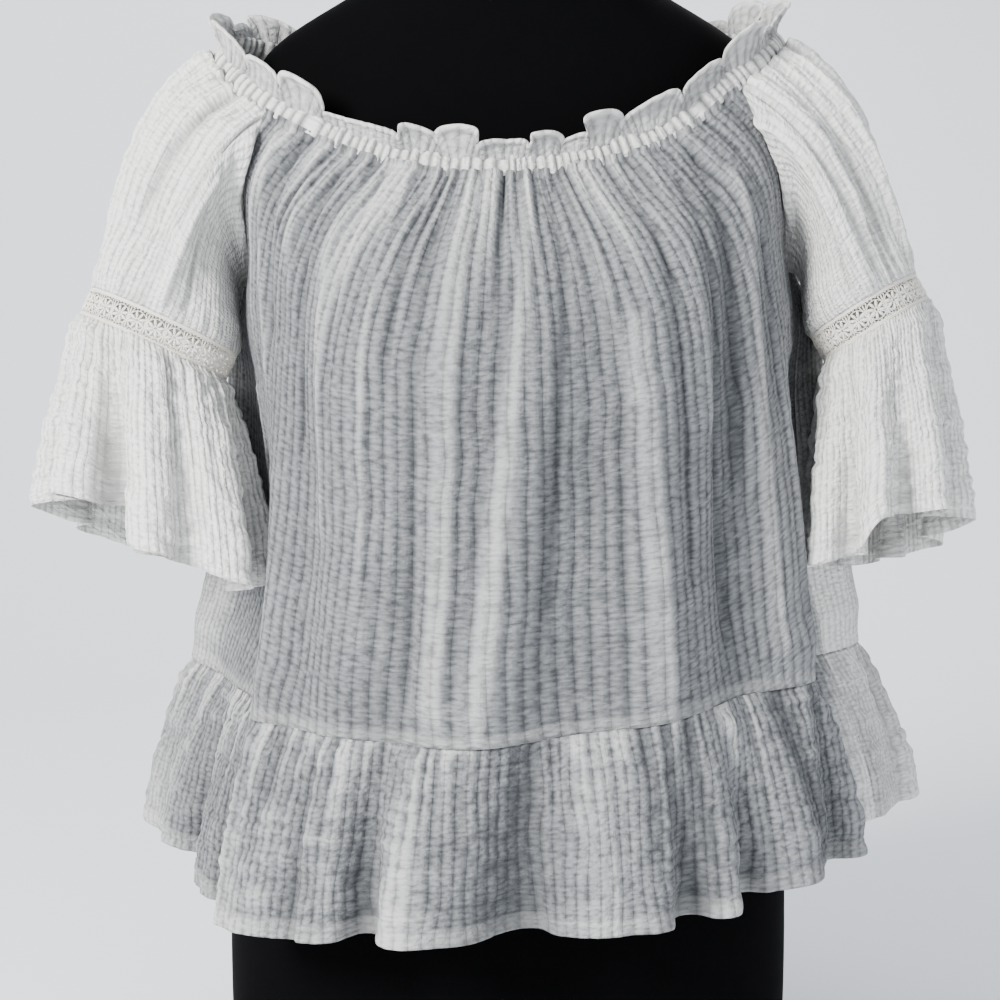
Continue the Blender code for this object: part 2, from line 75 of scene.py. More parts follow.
# %% [markdown]
# ## The blouse's own sizes
# The tables repeat the sizes that the solids were made from: the height of the
# neckline, the rings of the body, the ruffle's seam, the ovals of the sleeves and
# the long folds. Lengths are in millimetres and angles in degrees. Angles round
# the body are 0 at the front centre. Turns round a sleeve are 0 beside the body,
# 90 at the front and 180 outside.

# %% Sizes of the pieces
RAGLAN_ANGLE = 62.0
SIDE_ANGLE = 90.0
UNDERARM_FALL = 0.36
LACE_TALL = 21 * MM
CASING_TALL = 12 * MM
CASING_THICK = 5 * MM
CASING_LIFT = 0.15 * MM
FRILL_FOOT = 12.6 * MM
GAUZE_THICK = 0.7 * MM
SPREAD_ACROSS = 200 * MM
SPREAD_DEEP = 140 * MM

NECK_COLUMNS = ("angle", "height", "lean")
NECKLINE = (
    (-180, 683, 0.40),
    (-135, 685, 0.45),
    (-90, 694, 0.50),
    (-77, 677, 0.45),
    (-62, 654, 0.40),
    (-37, 624, 0.35),
    (0, 611, 0.35),
    (25, 620, 0.35),
    (44, 638, 0.35),
    (59, 666, 0.40),
    (80, 694, 0.50),
    (100, 704, 0.50),
    (135, 692, 0.45),
    (180, 683, 0.40),
)

BODY_COLUMNS = ("fall", "left", "right", "front", "back", "square")
BODY_RINGS = (
    (0.00, 200, 188, 100, 85, 2.0),
    (0.06, 196, 189, 114, 95, 2.1),
    (0.14, 188, 190, 135, 108, 2.2),
    (0.25, 178, 188, 150, 119, 2.3),
    (0.40, 172, 187, 157, 125, 2.4),
    (0.60, 167, 186, 160, 130, 2.4),
    (0.75, 166, 187, 163, 134, 2.4),
    (0.88, 174, 193, 166, 139, 2.4),
    (1.00, 192, 207, 169, 146, 2.3),
)

SEAM_COLUMNS = ("angle", "height", "drop")
RUFFLE_SEAM = (
    (-180, 278, 118),
    (-135, 275, 118),
    (-90, 268, 118),
    (-45, 256, 130),
    (0, 252, 119),
    (25, 265, 125),
    (45, 275, 122),
    (90, 281, 118),
    (135, 280, 118),
    (180, 278, 118),
)

RUFFLE_FLARE = dict(across=34 * MM, front=26 * MM, back=26 * MM)

CUFF_COLUMNS = ("x", "y", "z", "long", "short", "turned", "tilt", "pitch")
CUFFS = dict(
    left=dict(
        lace=(-236, -18, 515, 52, 44, 30, 25, 10),
        hem=(-243, -40, 365, 84, 60, 38, 19, 17),
    ),
    right=dict(
        lace=(243, -18, 526, 61, 35, 80, 31, 10),
        hem=(258, -32, 364, 80, 49, 80, 12, 18),
    ),
)

# %% [markdown]
# ## The long folds
# A long fold is a soft ridge or trough that runs down the cloth, wanders round
# the body on its way and deepens between two falls. Listed rows keep them as
# uneven as they hang on a real blouse, where a sine wave would look like a
# curtain.

# %% Tables of the long folds
# top, low, width and depth, and the falls where a fold starts and is full
BODY_FOLDS = (
    (-116, -112, 19, 44, 0.2, 0.75), (-76, -64, 10, -10, 0.45, 0.95), (-52, -45, 7, 11, 0.3, 0.85),
    (-40, -38, 8, -5, 0.05, 0.6), (-28, -30, 8, 5, 0, 0.5), (-11, -10, 6, 7, 0, 0.4),
    (0, -18, 6, -5, 0.1, 0.7), (8, -3, 5, 7, 0, 0.5), (17, 9, 7, -6, 0.1, 0.7),
    (25, 23, 6, 7, 0, 0.6), (44, 40, 6, -7, 0, 0.5), (60, 57, 9, 16, 0.25, 0.8),
    (82, 76, 10, -12, 0.35, 0.95), (117, 113, 20, 60, 0.2, 0.75), (146, 148, 8, -9, 0.05, 0.7),
    (163, 161, 8, 8, 0, 0.6), (177, 179, 7, -7, 0.05, 0.65), (-168, -166, 8, 9, 0, 0.6),
    (-149, -150, 8, -8, 0.05, 0.7),
)

# angle, width and depth of each fold of the ruffle
RUFFLE_FOLDS = (
    (-171, 6, 9), (-160, 5, -9), (-149, 6, 8), (-137, 5, -10), (-126, 6, 9), (-113, 6, -9),
    (-101, 6, 6), (-88, 5, 7), (-76, 4, -12), (-63, 5, 7), (-51, 4, -15), (-38, 5, 9),
    (-28, 6, 4), (-20, 3, -11), (-14, 4, 8), (1, 5, -11), (11, 5, 8), (19, 3, 5),
    (25, 3, -11), (30, 3, 8), (36, 3, -10), (45, 5, 8), (56, 4, -11), (68, 6, 6),
    (80, 5, -12), (91, 5, 6), (109, 7, 14), (121, 6, -9), (133, 5, 9), (145, 6, -9),
    (158, 5, 9), (170, 6, -8), (180, 4, 7),
)

# turn, width and depth of each fold of the sleeves and flounces
SLEEVE_FOLDS = dict(
    left=((150, 14, 6), (118, 10, -6), (92, 10, 6), (200, 12, -6), (235, 12, 6), (62, 9, -4)),
    right=((152, 13, 6), (124, 9, -6), (98, 10, 6), (205, 12, -6), (240, 12, 6), (66, 9, -4)),
)
FLOUNCE_FOLDS = dict(
    left=(
        (2, 10, 8), (22, 8, -8), (45, 11, 7), (72, 9, -5), (92, 9, 6), (116, 8, -13), (138, 10, 8),
        (163, 8, -7), (186, 10, 7), (212, 9, -9), (240, 11, 8), (270, 9, -9), (300, 11, 8),
        (332, 9, -8),
    ),
    right=(
        (5, 10, -8), (28, 9, 8), (50, 9, -8), (74, 10, 8), (98, 8, -7), (122, 9, 7), (146, 8, -9),
        (170, 9, 7), (196, 9, -8), (224, 10, 8), (252, 9, -9), (282, 11, 8), (310, 9, -9),
        (338, 9, 8),
    ),
)

# %% [markdown]
# ## Small maths helpers
# numpy works out a whole grid of cloth points at once. A smooth curve through a
# table's rows gives a size at any angle or fall.

# %% Curves, directions and rounded rings
def column(rows, names, name, scale=1.0):
    """One named column of a table, scaled to metres where it is a length."""
    place = names.index(name)
    return np.array([row[place] for row in rows], dtype=float) * scale


def hump(distance, width):
    """1 at 0, falling away smoothly on both sides over a width."""
    return np.exp(-((distance / width) ** 2))


def raised(points, ways, height):
    """Points moved along their own ways by their own heights."""
    return points + ways * height[..., None]


def through(keys, values, at):
    """Smooth curve through a table's values, by cubic Hermite with averaged slopes."""
    slopes = np.gradient(values, keys)
    at = np.clip(at, keys[0], keys[-1])
    row = np.clip(np.searchsorted(keys, at, side="right") - 1, 0, len(keys) - 2)
    span = keys[row + 1] - keys[row]
    s = (at - keys[row]) / span
    rise = 3 * s**2 - 2 * s**3
    value = values[row] * (1 - rise) + values[row + 1] * rise
    leave = slopes[row] * span * (s**3 - 2 * s**2 + s)
    arrive = slopes[row + 1] * span * (s**3 - s**2)
    return value + leave + arrive


def read(rows, names, name, at, scale=1.0):
    """Smooth value of a named column, at a place along the table's first column."""
    return through(column(rows, names, names[0]), column(rows, names, name, scale), at)


def wrapped(angle):
    """The angle in degrees between -180 and 180."""
    return (np.asarray(angle, dtype=float) + 180) % 360 - 180


def ease(x):
    """0 below 0, 1 above 1 and smooth between."""
    x = np.clip(x, 0, 1)
    return x * x * (3 - 2 * x)


def unit(vectors):
    """The same directions, one metre long."""
    return vectors / np.maximum(np.linalg.norm(vectors, axis=-1, keepdims=True), 1e-12)


def stack(x, y, z):
    """Points from their three parts, each a number or an array."""
    return np.stack(np.broadcast_arrays(x, y, z), axis=-1)


def level_ring(angle, across_left, across_right, front, back, square):
    """Point and outward direction, seen from above, on a rounded ring round the body."""
    turn = np.radians(angle)
    x, y = SPREAD_ACROSS * np.sin(turn), -SPREAD_DEEP * np.cos(turn)
    across = np.where(x > 0, across_right, across_left)
    deep = np.where(y < 0, front, back)
    reach = (np.abs(x / across) ** square + np.abs(y / deep) ** square) ** (-1 / square)
    x, y = x * reach, y * reach
    out_x = np.sign(x) * np.abs(x / across) ** (square - 1) / across
    out_y = np.sign(y) * np.abs(y / deep) ** (square - 1) / deep
    return stack(x, y, 0), unit(stack(out_x, out_y, 0))


# %% [markdown]
# ## Surfaces of the body and ruffle
# The body cloth hangs from the casing, comes in at the underbust and swings out
# to the ruffle's seam. The ruffle starts on that seam and flares, with its folds
# growing towards its hem. A surface function makes both the grid and anything
# that has to lie on it.

# %% Body and ruffle surfaces
RUFFLE_SWING = 1.6
FOLDS_GROW = 0.8


def neck_height(angle):
    """Height of the neckline."""
    return read(NECKLINE, NECK_COLUMNS, "height", wrapped(angle), MM)


def seam_value(angle, name):
    """Height of the ruffle's seam, or the ruffle's drop below it."""
    return read(RUFFLE_SEAM, SEAM_COLUMNS, name, wrapped(angle), MM)


def fold_wave(angle, fall, rows):
    """Sum of the long folds at each angle and fall."""
    total = 0.0
    for top, low, width, depth, start, full in rows:
        centre = top + (low - top) * fall
        grown = ease((fall - start) / (full - start))
        total = total + depth * MM * grown * hump(wrapped(angle - centre), width)
    return total


def pleat_wave(angle, rows):
    """Sum of short folds that keep their angle all the way down."""
    total = 0.0
    for centre, width, depth in rows:
        total = total + depth * MM * hump(wrapped(angle - centre), width)
    return total


def body_ring(angle, fall):
    """Ring of the body cloth without its folds, and the way out from it."""
    sizes = [read(BODY_RINGS, BODY_COLUMNS, name, fall, MM)
             for name in ("left", "right", "front", "back")]
    return level_ring(angle, *sizes, read(BODY_RINGS, BODY_COLUMNS, "square", fall))


def body_drop(angle):
    """Length of the body cloth from the neckline to the ruffle's seam."""
    return neck_height(angle) - seam_value(angle, "height")


def body_point(angle, fall):
    """Cloth of the body. fall is 0 at the neckline and 1 at the ruffle's seam."""
    point, out = body_ring(angle, fall)
    point = raised(point, out, fold_wave(angle, fall, BODY_FOLDS))
    return point + stack(0, 0, neck_height(angle) - body_drop(angle) * fall)


def ruffle_point(angle, drop):
    """Cloth of the ruffle. drop is 0 at its seam and 1 at its hem."""
    point = body_point(angle, np.ones_like(angle))
    turn = np.radians(angle)
    flare_deep = np.where(np.cos(turn) > 0, RUFFLE_FLARE["front"], RUFFLE_FLARE["back"])
    flare = stack(RUFFLE_FLARE["across"] * np.sin(turn), -flare_deep * np.cos(turn), 0)
    out = body_ring(angle, np.ones_like(angle))[1]
    swing = 1 - (1 - drop) ** RUFFLE_SWING
    pleats = pleat_wave(angle, RUFFLE_FOLDS) * drop**FOLDS_GROW
    point = raised(raised(point, flare, swing), out, pleats)
    return point - stack(0, 0, seam_value(angle, "drop") * drop)


# %% [markdown]
# ## Surfaces of the sleeves
# A raglan sleeve runs from the casing and the two slanted seams to the lace band.
# Each band is a tilted oval. The flounce below it widens to a larger oval.

# %% Sleeve, lace and flounce surfaces
UNDERARM_TURN = 105
SLEEVE_BILLOW = 1.15
FLOUNCE_SWING = 1.5


def cuff_values(side, place):
    """Sizes of the oval at a sleeve's lace or hem, by name."""
    return dict(zip(CUFF_COLUMNS, CUFFS[side][place]))


def cuff_point(side, place, turn):
    """Point on a sleeve's tilted oval, and the way out from its centre."""
    size = cuff_values(side, place)
    turned = np.radians(size["turned"])
    own = np.radians(turn) - turned
    along, beside = size["long"] * MM * np.cos(own), size["short"] * MM * np.sin(own)
    to_body = along * np.cos(turned) - beside * np.sin(turned)
    to_front = along * np.sin(turned) + beside * np.cos(turned)
    tilt, pitch = np.tan(np.radians(size["tilt"])), np.tan(np.radians(size["pitch"]))
    low = to_body * tilt - to_front * pitch
    from_centre = stack(-SIDES[side] * to_body, -to_front, -low)
    centre = np.array([size["x"], size["y"], size["z"]]) * MM
    return centre + from_centre, unit(from_centre)


def cuff_axis(side, place):
    """Way down a sleeve at one of its ovals, square to the oval's plane."""
    size = cuff_values(side, place)
    tilt, pitch = np.tan(np.radians(size["tilt"])), np.tan(np.radians(size["pitch"]))
    return unit(np.array([SIDES[side] * tilt, pitch, -1.0]))


def raglan_angle(fall):
    """Angle of the raglan seam from the panel's own centre, at a fall."""
    way = np.clip(fall / UNDERARM_FALL, 0, 1)
    return RAGLAN_ANGLE + (SIDE_ANGLE - RAGLAN_ANGLE) * way**2


def sleeve_start(side, place):
    """Top edge of a sleeve.

    place runs 0 to 1 down the front seam, 1 to 2 up the back seam and 2 to 3 round the neck.
    """
    front_fall = UNDERARM_FALL * np.clip(1 - np.abs(place - 1), 0, 1)
    seam = raglan_angle(front_fall)
    behind = np.where(place > 1, 180 - seam, seam)
    round_neck = 180 - RAGLAN_ANGLE + (2 * RAGLAN_ANGLE - 180) * (place - 2)
    angle = np.where(place > 2, round_neck, behind)
    fall = np.where(place > 2, 0.0, front_fall)
    return body_point(SIDES[side] * angle, fall)


def sleeve_turn(place):
    """Turn round the sleeve for each place on its top edge."""
    down, up = UNDERARM_TURN * (1 - place), -UNDERARM_TURN * (place - 1)
    over = -UNDERARM_TURN - (360 - 2 * UNDERARM_TURN) * (place - 2)
    return np.where(place < 1, down, np.where(place < 2, up, over))


def sleeve_point(side, place, way):
    """Cloth of a raglan sleeve. way is 0 at its top edge and 1 at the lace."""
    sign = SIDES[side]
    turn = sleeve_turn(place)
    start = sleeve_start(side, place)
    end, out = cuff_point(side, "lace", turn)
    beside, front = np.cos(np.radians(turn)), np.sin(np.radians(turn))
    down = 0.45 * np.clip(beside, 0, 1) ** 2 - 0.45
    leave = unit(stack(sign * (0.80 - 0.10 * beside), -0.50 * front, down))
    arrive = cuff_axis(side, "lace")
    reach = np.linalg.norm(end - start, axis=-1, keepdims=True)
    w = way[..., None]
    rise = 3 * w**2 - 2 * w**3
    point = start * (1 - rise) + end * rise
    point = point + leave * reach * SLEEVE_BILLOW * (w**3 - 2 * w**2 + w)
    point = point + arrive * reach * (w**3 - w**2)
    middle = np.sin(np.pi * np.clip(way, 0, 1)) ** FOLDS_GROW
    folds = pleat_wave(turn, SLEEVE_FOLDS[side]) * middle
    return raised(point, out, folds)


def lace_point(side, turn, way):
    """Lace band: the cuff's oval carried down its own axis."""
    point = cuff_point(side, "lace", turn)[0]
    return point + cuff_axis(side, "lace") * LACE_TALL * way[..., None]


def flounce_point(side, turn, drop):
    """Cloth of a sleeve's flounce. drop is 0 at the lace and 1 at the hem."""
    start = lace_point(side, turn, np.ones_like(turn))
    end, out = cuff_point(side, "hem", turn)
    d = drop[..., None]
    level = start + (end - start) * (1 - (1 - d) ** FLOUNCE_SWING)
    height = start + (end - start) * d
    point = np.concatenate([level[..., :2], height[..., 2:]], axis=-1)
    return raised(point, out, pleat_wave(turn, FLOUNCE_FOLDS[side]) * drop**FOLDS_GROW)


def neck_frame(angle):
    """Neckline point, the way up the header from it and the way out."""
    top = np.zeros_like(angle)
    point = body_point(angle, top)
    out = body_ring(angle, top)[1]
    lean = read(NECKLINE, NECK_COLUMNS, "lean", wrapped(angle))
    up = unit(stack(0, 0, 1) - out * lean[..., None])
    along = unit(body_point(angle + 0.5, top) - body_point(angle - 0.5, top))
    up = unit(up - along * np.sum(up * along, axis=-1, keepdims=True))
    return point, up, np.cross(along, up)


neck_line = body_point(np.linspace(-180, 180, 721), np.zeros(721))
NECK_ROUND = float(np.linalg.norm(np.diff(neck_line, axis=0), axis=1).sum())
print("neckline, drawn up:", round(NECK_ROUND, 3), "m round")

# %% [markdown]
# ## Crinkle, gathers and creases
# Washed double gauze draws up into narrow ribs a little over five millimetres
# wide, tied across every few millimetres, so that it looks like rows of beads.
# The ribs are made in the mesh and the beads in the material, and both read the
# same place across the cloth, counted in ribs. A smooth noise makes the ribs
# wander. It is drawn from a seeded table, so that every run gives the same
# cloth, and its cells close up after one turn round a sleeve.

# %% Noise for the cloth
TABLE_SIZE = 256
RIB = 5.3 * MM
STEEP_SIDE = 0.45
CREASE_STARTS, CREASE_ENDS = 12 * MM, 35 * MM


def noise(across, along, seed, around=TABLE_SIZE):
    """Smooth noise from -1 to 1 on unit cells. It repeats across after a number of cells."""
    table = np.random.RandomState(seed).uniform(-1, 1, (TABLE_SIZE, TABLE_SIZE))
    left, low = np.floor(across).astype(int), np.floor(along).astype(int)
    s, t = ease(across - left), ease(along - low)
    near, far = left % around % TABLE_SIZE, (left + 1) % around % TABLE_SIZE
    first, second = low % TABLE_SIZE, (low + 1) % TABLE_SIZE
    lower = table[near, first] * (1 - s) + table[far, first] * s
    upper = table[near, second] * (1 - s) + table[far, second] * s
    return lower * (1 - t) + upper * t


def round_noise(turn, along, size_round, cell, seed):
    """Noise on cells of (across, along) metres that closes up after one turn."""
    around = max(int(round(size_round / cell[0])), 2)
    return noise(turn * around, along / cell[1], seed, around)


def hills(turn, along, cell, size_round, seed):
    """Soft hills with sharp valleys between them, 0 to 1."""
    return np.abs(round_noise(turn, along, size_round, cell, seed))


def rib_place(turn, along, size_round, seed, wander=1.0):
    """Place across the cloth, counted in ribs that wander and vary in width."""
    count = int(round(size_round / RIB))
    slow = round_noise(turn, along, size_round, (0.060, 0.110), seed) * 0.45
    quick = round_noise(turn, along, size_round, (0.017, 0.030), seed + 1) * 0.20
    return turn * count + (slow + quick) * wander


def ribs(place, along, seed):
    """Relief of the ribs, 0 to about 1."""
    own = 0.80 + 0.45 * noise(place / 2.3, along / 0.045, seed)
    return np.abs(np.sin(np.pi * place)) ** 0.8 * own


def cells(place, along, seed):
    """Relief of small puckered cells, 0 to about 1, wider than one rib."""
    small = np.abs(noise(place / 1.6, along / 0.0085, seed))
    large = np.abs(noise(place / 3.1, along / 0.021, seed + 1))
    return 1.4 * small + 0.5 * large


def cross_folds(turn, along, size_round, seed):
    """Relief of short level creases, sharp in the valley, about -0.4 to 0.6."""
    return hills(turn, along, (0.032, 0.0075), size_round, seed) - 0.4


def deepened(folds):
    """What is added to the folds: their valleys again, and 0.4 of their ridges."""
    return np.where(folds < 0, 1.0, 0.4) * folds


def freed(distance, over, least):
    """Share of the relief at a distance from a seam: least on it and all of it past over."""
    return least + (1 - least) * ease(distance / over)


def gathers(turn, along, size_round, seed, length):
    """Relief of sharp gathers that die away from a seam at 0, each at its own length."""
    close = hills(turn, along, (0.0066, 0.30), size_round, seed)
    pairs = hills(turn, along, (0.0130, 0.40), size_round, seed + 1)
    own = 0.35 + 1.5 * hills(turn, along * 0, (0.0150, 1.0), size_round, seed + 2)
    return (close + 0.9 * pairs - 0.45) * np.exp(-along / (length * own))


def crease_wave(angle, along, rows):
    """Listed creases: steep on one side, soft on the other, with their own lengths."""
    total = np.zeros(np.broadcast(angle, along).shape)
    for top, low, width, depth, start, end in rows:
        centre = top + (low - top) * (along - start) / (end - start)
        away = wrapped(angle - centre)
        away = np.where(away < 0, away, away / STEEP_SIDE)
        fade = ease((along - start + 4 * MM) / CREASE_STARTS) * ease((end - along) / CREASE_ENDS)
        total = total + depth * MM * hump(away, width) * fade
    return total


def crinkled(kind, turn, along, seed, straight=None):
    """Place across in ribs, small relief, gathers from the seam at 0 and level creases."""
    cloth = CRINKLES[kind]
    size_round = cloth["size_round"]
    place = rib_place(turn, along, size_round, seed, cloth["wander"])
    small = cloth["ribbed"] * ribs(place, along, seed + 4)
    small = small + cloth["celled"] * cells(place, along, seed + 5)
    pulled = gathers(turn, along, size_round, seed + 10, cloth["reach"])
    level_turn = turn if straight is None else straight
    return place, small, pulled, cross_folds(level_turn, along, size_round, seed + 30)


def weighed(weights, **reliefs):
    """Sum of the reliefs, each by its weight in the table's row, over the row's base."""
    return weights.get("base", 0) + sum(weights[name] * relief for name, relief in reliefs.items())


# %% [markdown]
# ## Listed creases
# Each row is one pressed crease: its angle at the top and at its lower end, its
# half width in degrees, its depth in millimetres and the stretch of cloth that it
# covers, in metres down from the piece's top edge. A ridge is positive.

# %% Tables of the creases
FRONT_CREASES = (
    (-57, -54, 2.2, 2.4, 0, 0.19), (-51, -52, 1.7, -2.6, 0, 0.15), (-46, -44, 1.8, 2.2, 0, 0.12),
    (-40, -41, 1.3, -2.6, 0, 0.21), (-35, -33, 2.0, 2.2, 0, 0.26), (-30, -32, 1.2, -2.6, 0, 0.18),
    (-24, -24, 1.6, 2.0, 0, 0.33), (-19, -20, 1.3, -2.6, 0, 0.15),
    (-14, -16, 1.6, -3.0, 0.03, 0.35), (-8, -11, 3.2, 3.4, 0, 0.372), (-1, -3, 1.3, -2.6, 0, 0.12),
    (1, -9, 1.5, -3.0, 0.06, 0.35), (5, -5, 3.0, 3.6, 0, 0.372), (11, 6, 1.4, -3.2, 0, 0.3),
    (14, 21, 3.0, 3.2, 0, 0.16), (22, 25, 3.2, 3.2, 0.09, 0.372), (19, 18, 1.5, -2.8, 0.08, 0.372),
    (29, 30, 1.6, -3.2, 0, 0.29), (34, 36, 2.2, 2.2, 0, 0.2), (39, 41, 1.5, -3.4, 0.02, 0.34),
    (45, 45, 2.6, -4.6, 0.01, 0.24), (51, 51, 2.4, 3.0, 0.03, 0.372),
    (56, 57, 1.8, -3.0, 0.08, 0.372), (-62, -66, 2.2, -2.8, 0.15, 0.372),
    (-70, -74, 2.4, 2.8, 0.19, 0.372), (66, 69, 2.2, -3.0, 0.16, 0.372),
    (74, 78, 2.4, 3.0, 0.18, 0.372),
)
BACK_CREASES = (
    (121, 119, 2.2, 2.4, 0, 0.16), (127, 128, 1.6, -2.6, 0, 0.23), (134, 132, 2.4, 2.6, 0, 0.3),
    (141, 142, 1.5, -2.8, 0, 0.38), (149, 151, 2.8, 3.0, 0, 0.39), (156, 153, 1.5, -2.6, 0, 0.14),
    (162, 166, 2.6, 3.0, 0.06, 0.4), (170, 169, 1.5, -2.8, 0, 0.26), (176, 178, 2.4, 2.2, 0, 0.18),
    (-177, -174, 1.6, -3.0, 0.03, 0.4), (-169, -172, 2.8, 3.0, 0, 0.33),
    (-161, -160, 1.5, -2.6, 0, 0.2), (-154, -157, 2.6, 2.6, 0.07, 0.4),
    (-147, -146, 1.6, -2.8, 0, 0.28), (-139, -141, 2.4, 2.8, 0, 0.37),
    (-131, -129, 1.6, -2.4, 0, 0.15), (-124, -122, 2.2, 2.4, 0, 0.24),
    (104, 100, 2.4, 2.6, 0.17, 0.4), (-104, -100, 2.4, -2.8, 0.17, 0.4),
)
RUFFLE_CREASES = (
    (-61, -62, 2.4, -4.5, 0, 0.16), (-46, -45, 3.4, 3.5, 0, 0.16), (-38, -40, 1.6, -3.5, 0, 0.09),
    (-31, -30, 2.4, -5.5, 0, 0.16), (-14, -13, 4.2, 4.0, 0, 0.16), (-7, -6, 1.6, -3.5, 0, 0.08),
    (3, 4, 2.6, -5.5, 0, 0.16), (12, 15, 3.6, 4.0, 0, 0.16), (21, 20, 1.6, -3.5, 0, 0.1),
    (28, 29, 2.2, -4.5, 0, 0.13), (38, 39, 3.4, 3.5, 0, 0.16), (49, 52, 2.6, -5.0, 0, 0.16),
    (62, 64, 2.6, 3.5, 0.01, 0.16), (70, 73, 2.2, -4.0, 0, 0.12), (104, 102, 2.8, -4.5, 0, 0.16),
    (121, 124, 3.6, 3.5, 0, 0.16), (137, 134, 2.2, -4.0, 0, 0.11), (152, 154, 2.6, -5.0, 0, 0.16),
    (170, 168, 4.0, 4.0, 0, 0.16), (-175, -178, 2.4, -4.5, 0, 0.13),
    (-158, -156, 3.6, 4.0, 0, 0.16), (-143, -146, 2.6, -5.0, 0, 0.16),
    (-126, -124, 3.2, 3.5, 0.01, 0.16), (-109, -107, 2.4, -4.5, 0, 0.12),
)

# %% [markdown]
# ## How much each kind of piece is crinkled
# All the gauze is crinkled in one way and differs in how much. The first table
# gives the cloth's size round, how far its ribs wander, how much of the relief is
# ribs and how much is cells, and how far its gathers reach from their seam. The
# second says how high each relief stands. The third turns the same reliefs into
# painted shade, which the finish reads as 0, dark, in a valley and 1, light, on a
# crown, and which also marks where the cloth lies double.

# %% Tables of the crinkle
BODY_ROUND, RUFFLE_ROUND, SLEEVE_ROUND, FLOUNCE_ROUND = 1.02, 1.30, 0.40, 0.56
CRINKLES = dict(
    panel=dict(size_round=BODY_ROUND, wander=1.0, ribbed=1.00, celled=0.00, reach=0.085),
    ruffle=dict(size_round=RUFFLE_ROUND, wander=1.4, ribbed=0.30, celled=0.95, reach=0.036),
    sleeve=dict(size_round=SLEEVE_ROUND, wander=1.8, ribbed=0.55, celled=0.55, reach=0.075),
    flounce=dict(size_round=FLOUNCE_ROUND, wander=1.3, ribbed=0.30, celled=0.95, reach=0.060),
)
HEIGHTS = dict(
    panel=dict(small=0.70 * MM, pulled=4.6 * MM, level=0.7 * MM),
    ruffle=dict(small=1.5 * MM, pulled=4.2 * MM, level=2.2 * MM, groove=-0.6 * MM),
    sleeve=dict(small=0.75 * MM, pulled=7.0 * MM, level=1.2 * MM, cuffed=3.6 * MM),
    flounce=dict(small=1.5 * MM, pulled=6.0 * MM, level=2.4 * MM, groove=-0.5 * MM),
)
# Painted shade from each relief: low in valleys, where the colour is darkened, and high on ridges.
SHADE_AND_DOUBLING = dict(
    panel=dict(base=0.42, small=0.08, pulled=1.1, level=0.2, folds=14, placed=80),
    ruffle=dict(base=0.30, small=0.20, pulled=1.1, level=0.22, folds=42, placed=80, groove=-0.30),
    sleeve=dict(base=0.50, small=0.16, pulled=1.4, level=0.4, cuffed=1.4, placed=90),
    flounce=dict(base=0.42, small=0.25, pulled=1.6, level=0.5, folds=55, groove=-0.25),
)

# %% [markdown]
# ## One wall of cloth
# A maker would cut a flat sheet. Here the sheet is a grid of points with a small
# thickness, closed all round, so that light and shade fall on both of its faces.
# A grid written straight into a mesh keeps its UV map, in metres of cloth, and
# three attributes that the material reads: the painted shade of its relief, dark
# in valleys and light on crowns, where it is a doubled band, which on some ridges
# is a painted highlight, and how closely the dark form stands behind it.

# %% Wall mesh from a grid
def grid_normals(grid, closed, sign=1):
    """Outward directions on a grid, by the differences of its neighbours."""
    if closed:
        across = np.roll(grid, -1, axis=1) - np.roll(grid, 1, axis=1)
    else:
        across = np.gradient(grid, axis=1)
    return unit(np.cross(np.gradient(grid, axis=0), across)) * sign


def quads(a, b, c, d):
    """Rows of four corners, from four arrays of corner numbers."""
    return np.stack([a, b, c, d], axis=-1).reshape(-1, 4)


def wall_faces(index, open_sides):
    """Quads of a closed wall whose corners are numbered by index[skin, row, column]."""
    outer, inner = index
    faces = [
        quads(outer[:-1, :-1], outer[1:, :-1], outer[1:, 1:], outer[:-1, 1:]),
        quads(inner[:-1, 1:], inner[1:, 1:], inner[1:, :-1], inner[:-1, :-1]),
        quads(outer[0, :-1], outer[0, 1:], inner[0, 1:], inner[0, :-1]),
        quads(outer[-1, 1:], outer[-1, :-1], inner[-1, :-1], inner[-1, 1:]),
    ]
    if open_sides:
        faces.append(quads(outer[1:, 0], outer[:-1, 0], inner[:-1, 0], inner[1:, 0]))
        faces.append(quads(outer[:-1, -1], outer[1:, -1], inner[1:, -1], inner[:-1, -1]))
    return np.concatenate(faces)


def flat_floats(numbers):
    return np.ascontiguousarray(numbers, dtype=np.float32).ravel()


def make_mesh(name, points, faces, material, corner_uv=None, values=None):
    """Object from arrays of points and quads, with a UV map and point values."""
    mesh = bpy.data.meshes.new(name)
    mesh.vertices.add(len(points))
    mesh.vertices.foreach_set("co", flat_floats(points))
    mesh.loops.add(faces.size)
    mesh.loops.foreach_set("vertex_index", faces.ravel().astype(np.int32))
    mesh.polygons.add(len(faces))
    starts = np.arange(0, faces.size, faces.shape[1], dtype=np.int32)
    mesh.polygons.foreach_set("loop_start", starts)
    mesh.update(calc_edges=True)
    if corner_uv is not None:
        mesh.uv_layers.new(name="cloth").uv.foreach_set("vector", flat_floats(corner_uv))
    for key, numbers in (values or {}).items():
        attribute = mesh.attributes.new(key, "FLOAT", "POINT")
        attribute.data.foreach_set("value", flat_floats(numbers))
    mesh.materials.append(material)
    mesh.shade_smooth()
    piece = bpy.data.objects.new(name, mesh)
    bpy.context.scene.collection.objects.link(piece)
    print(name, len(faces) * 2, "triangles")
    return piece


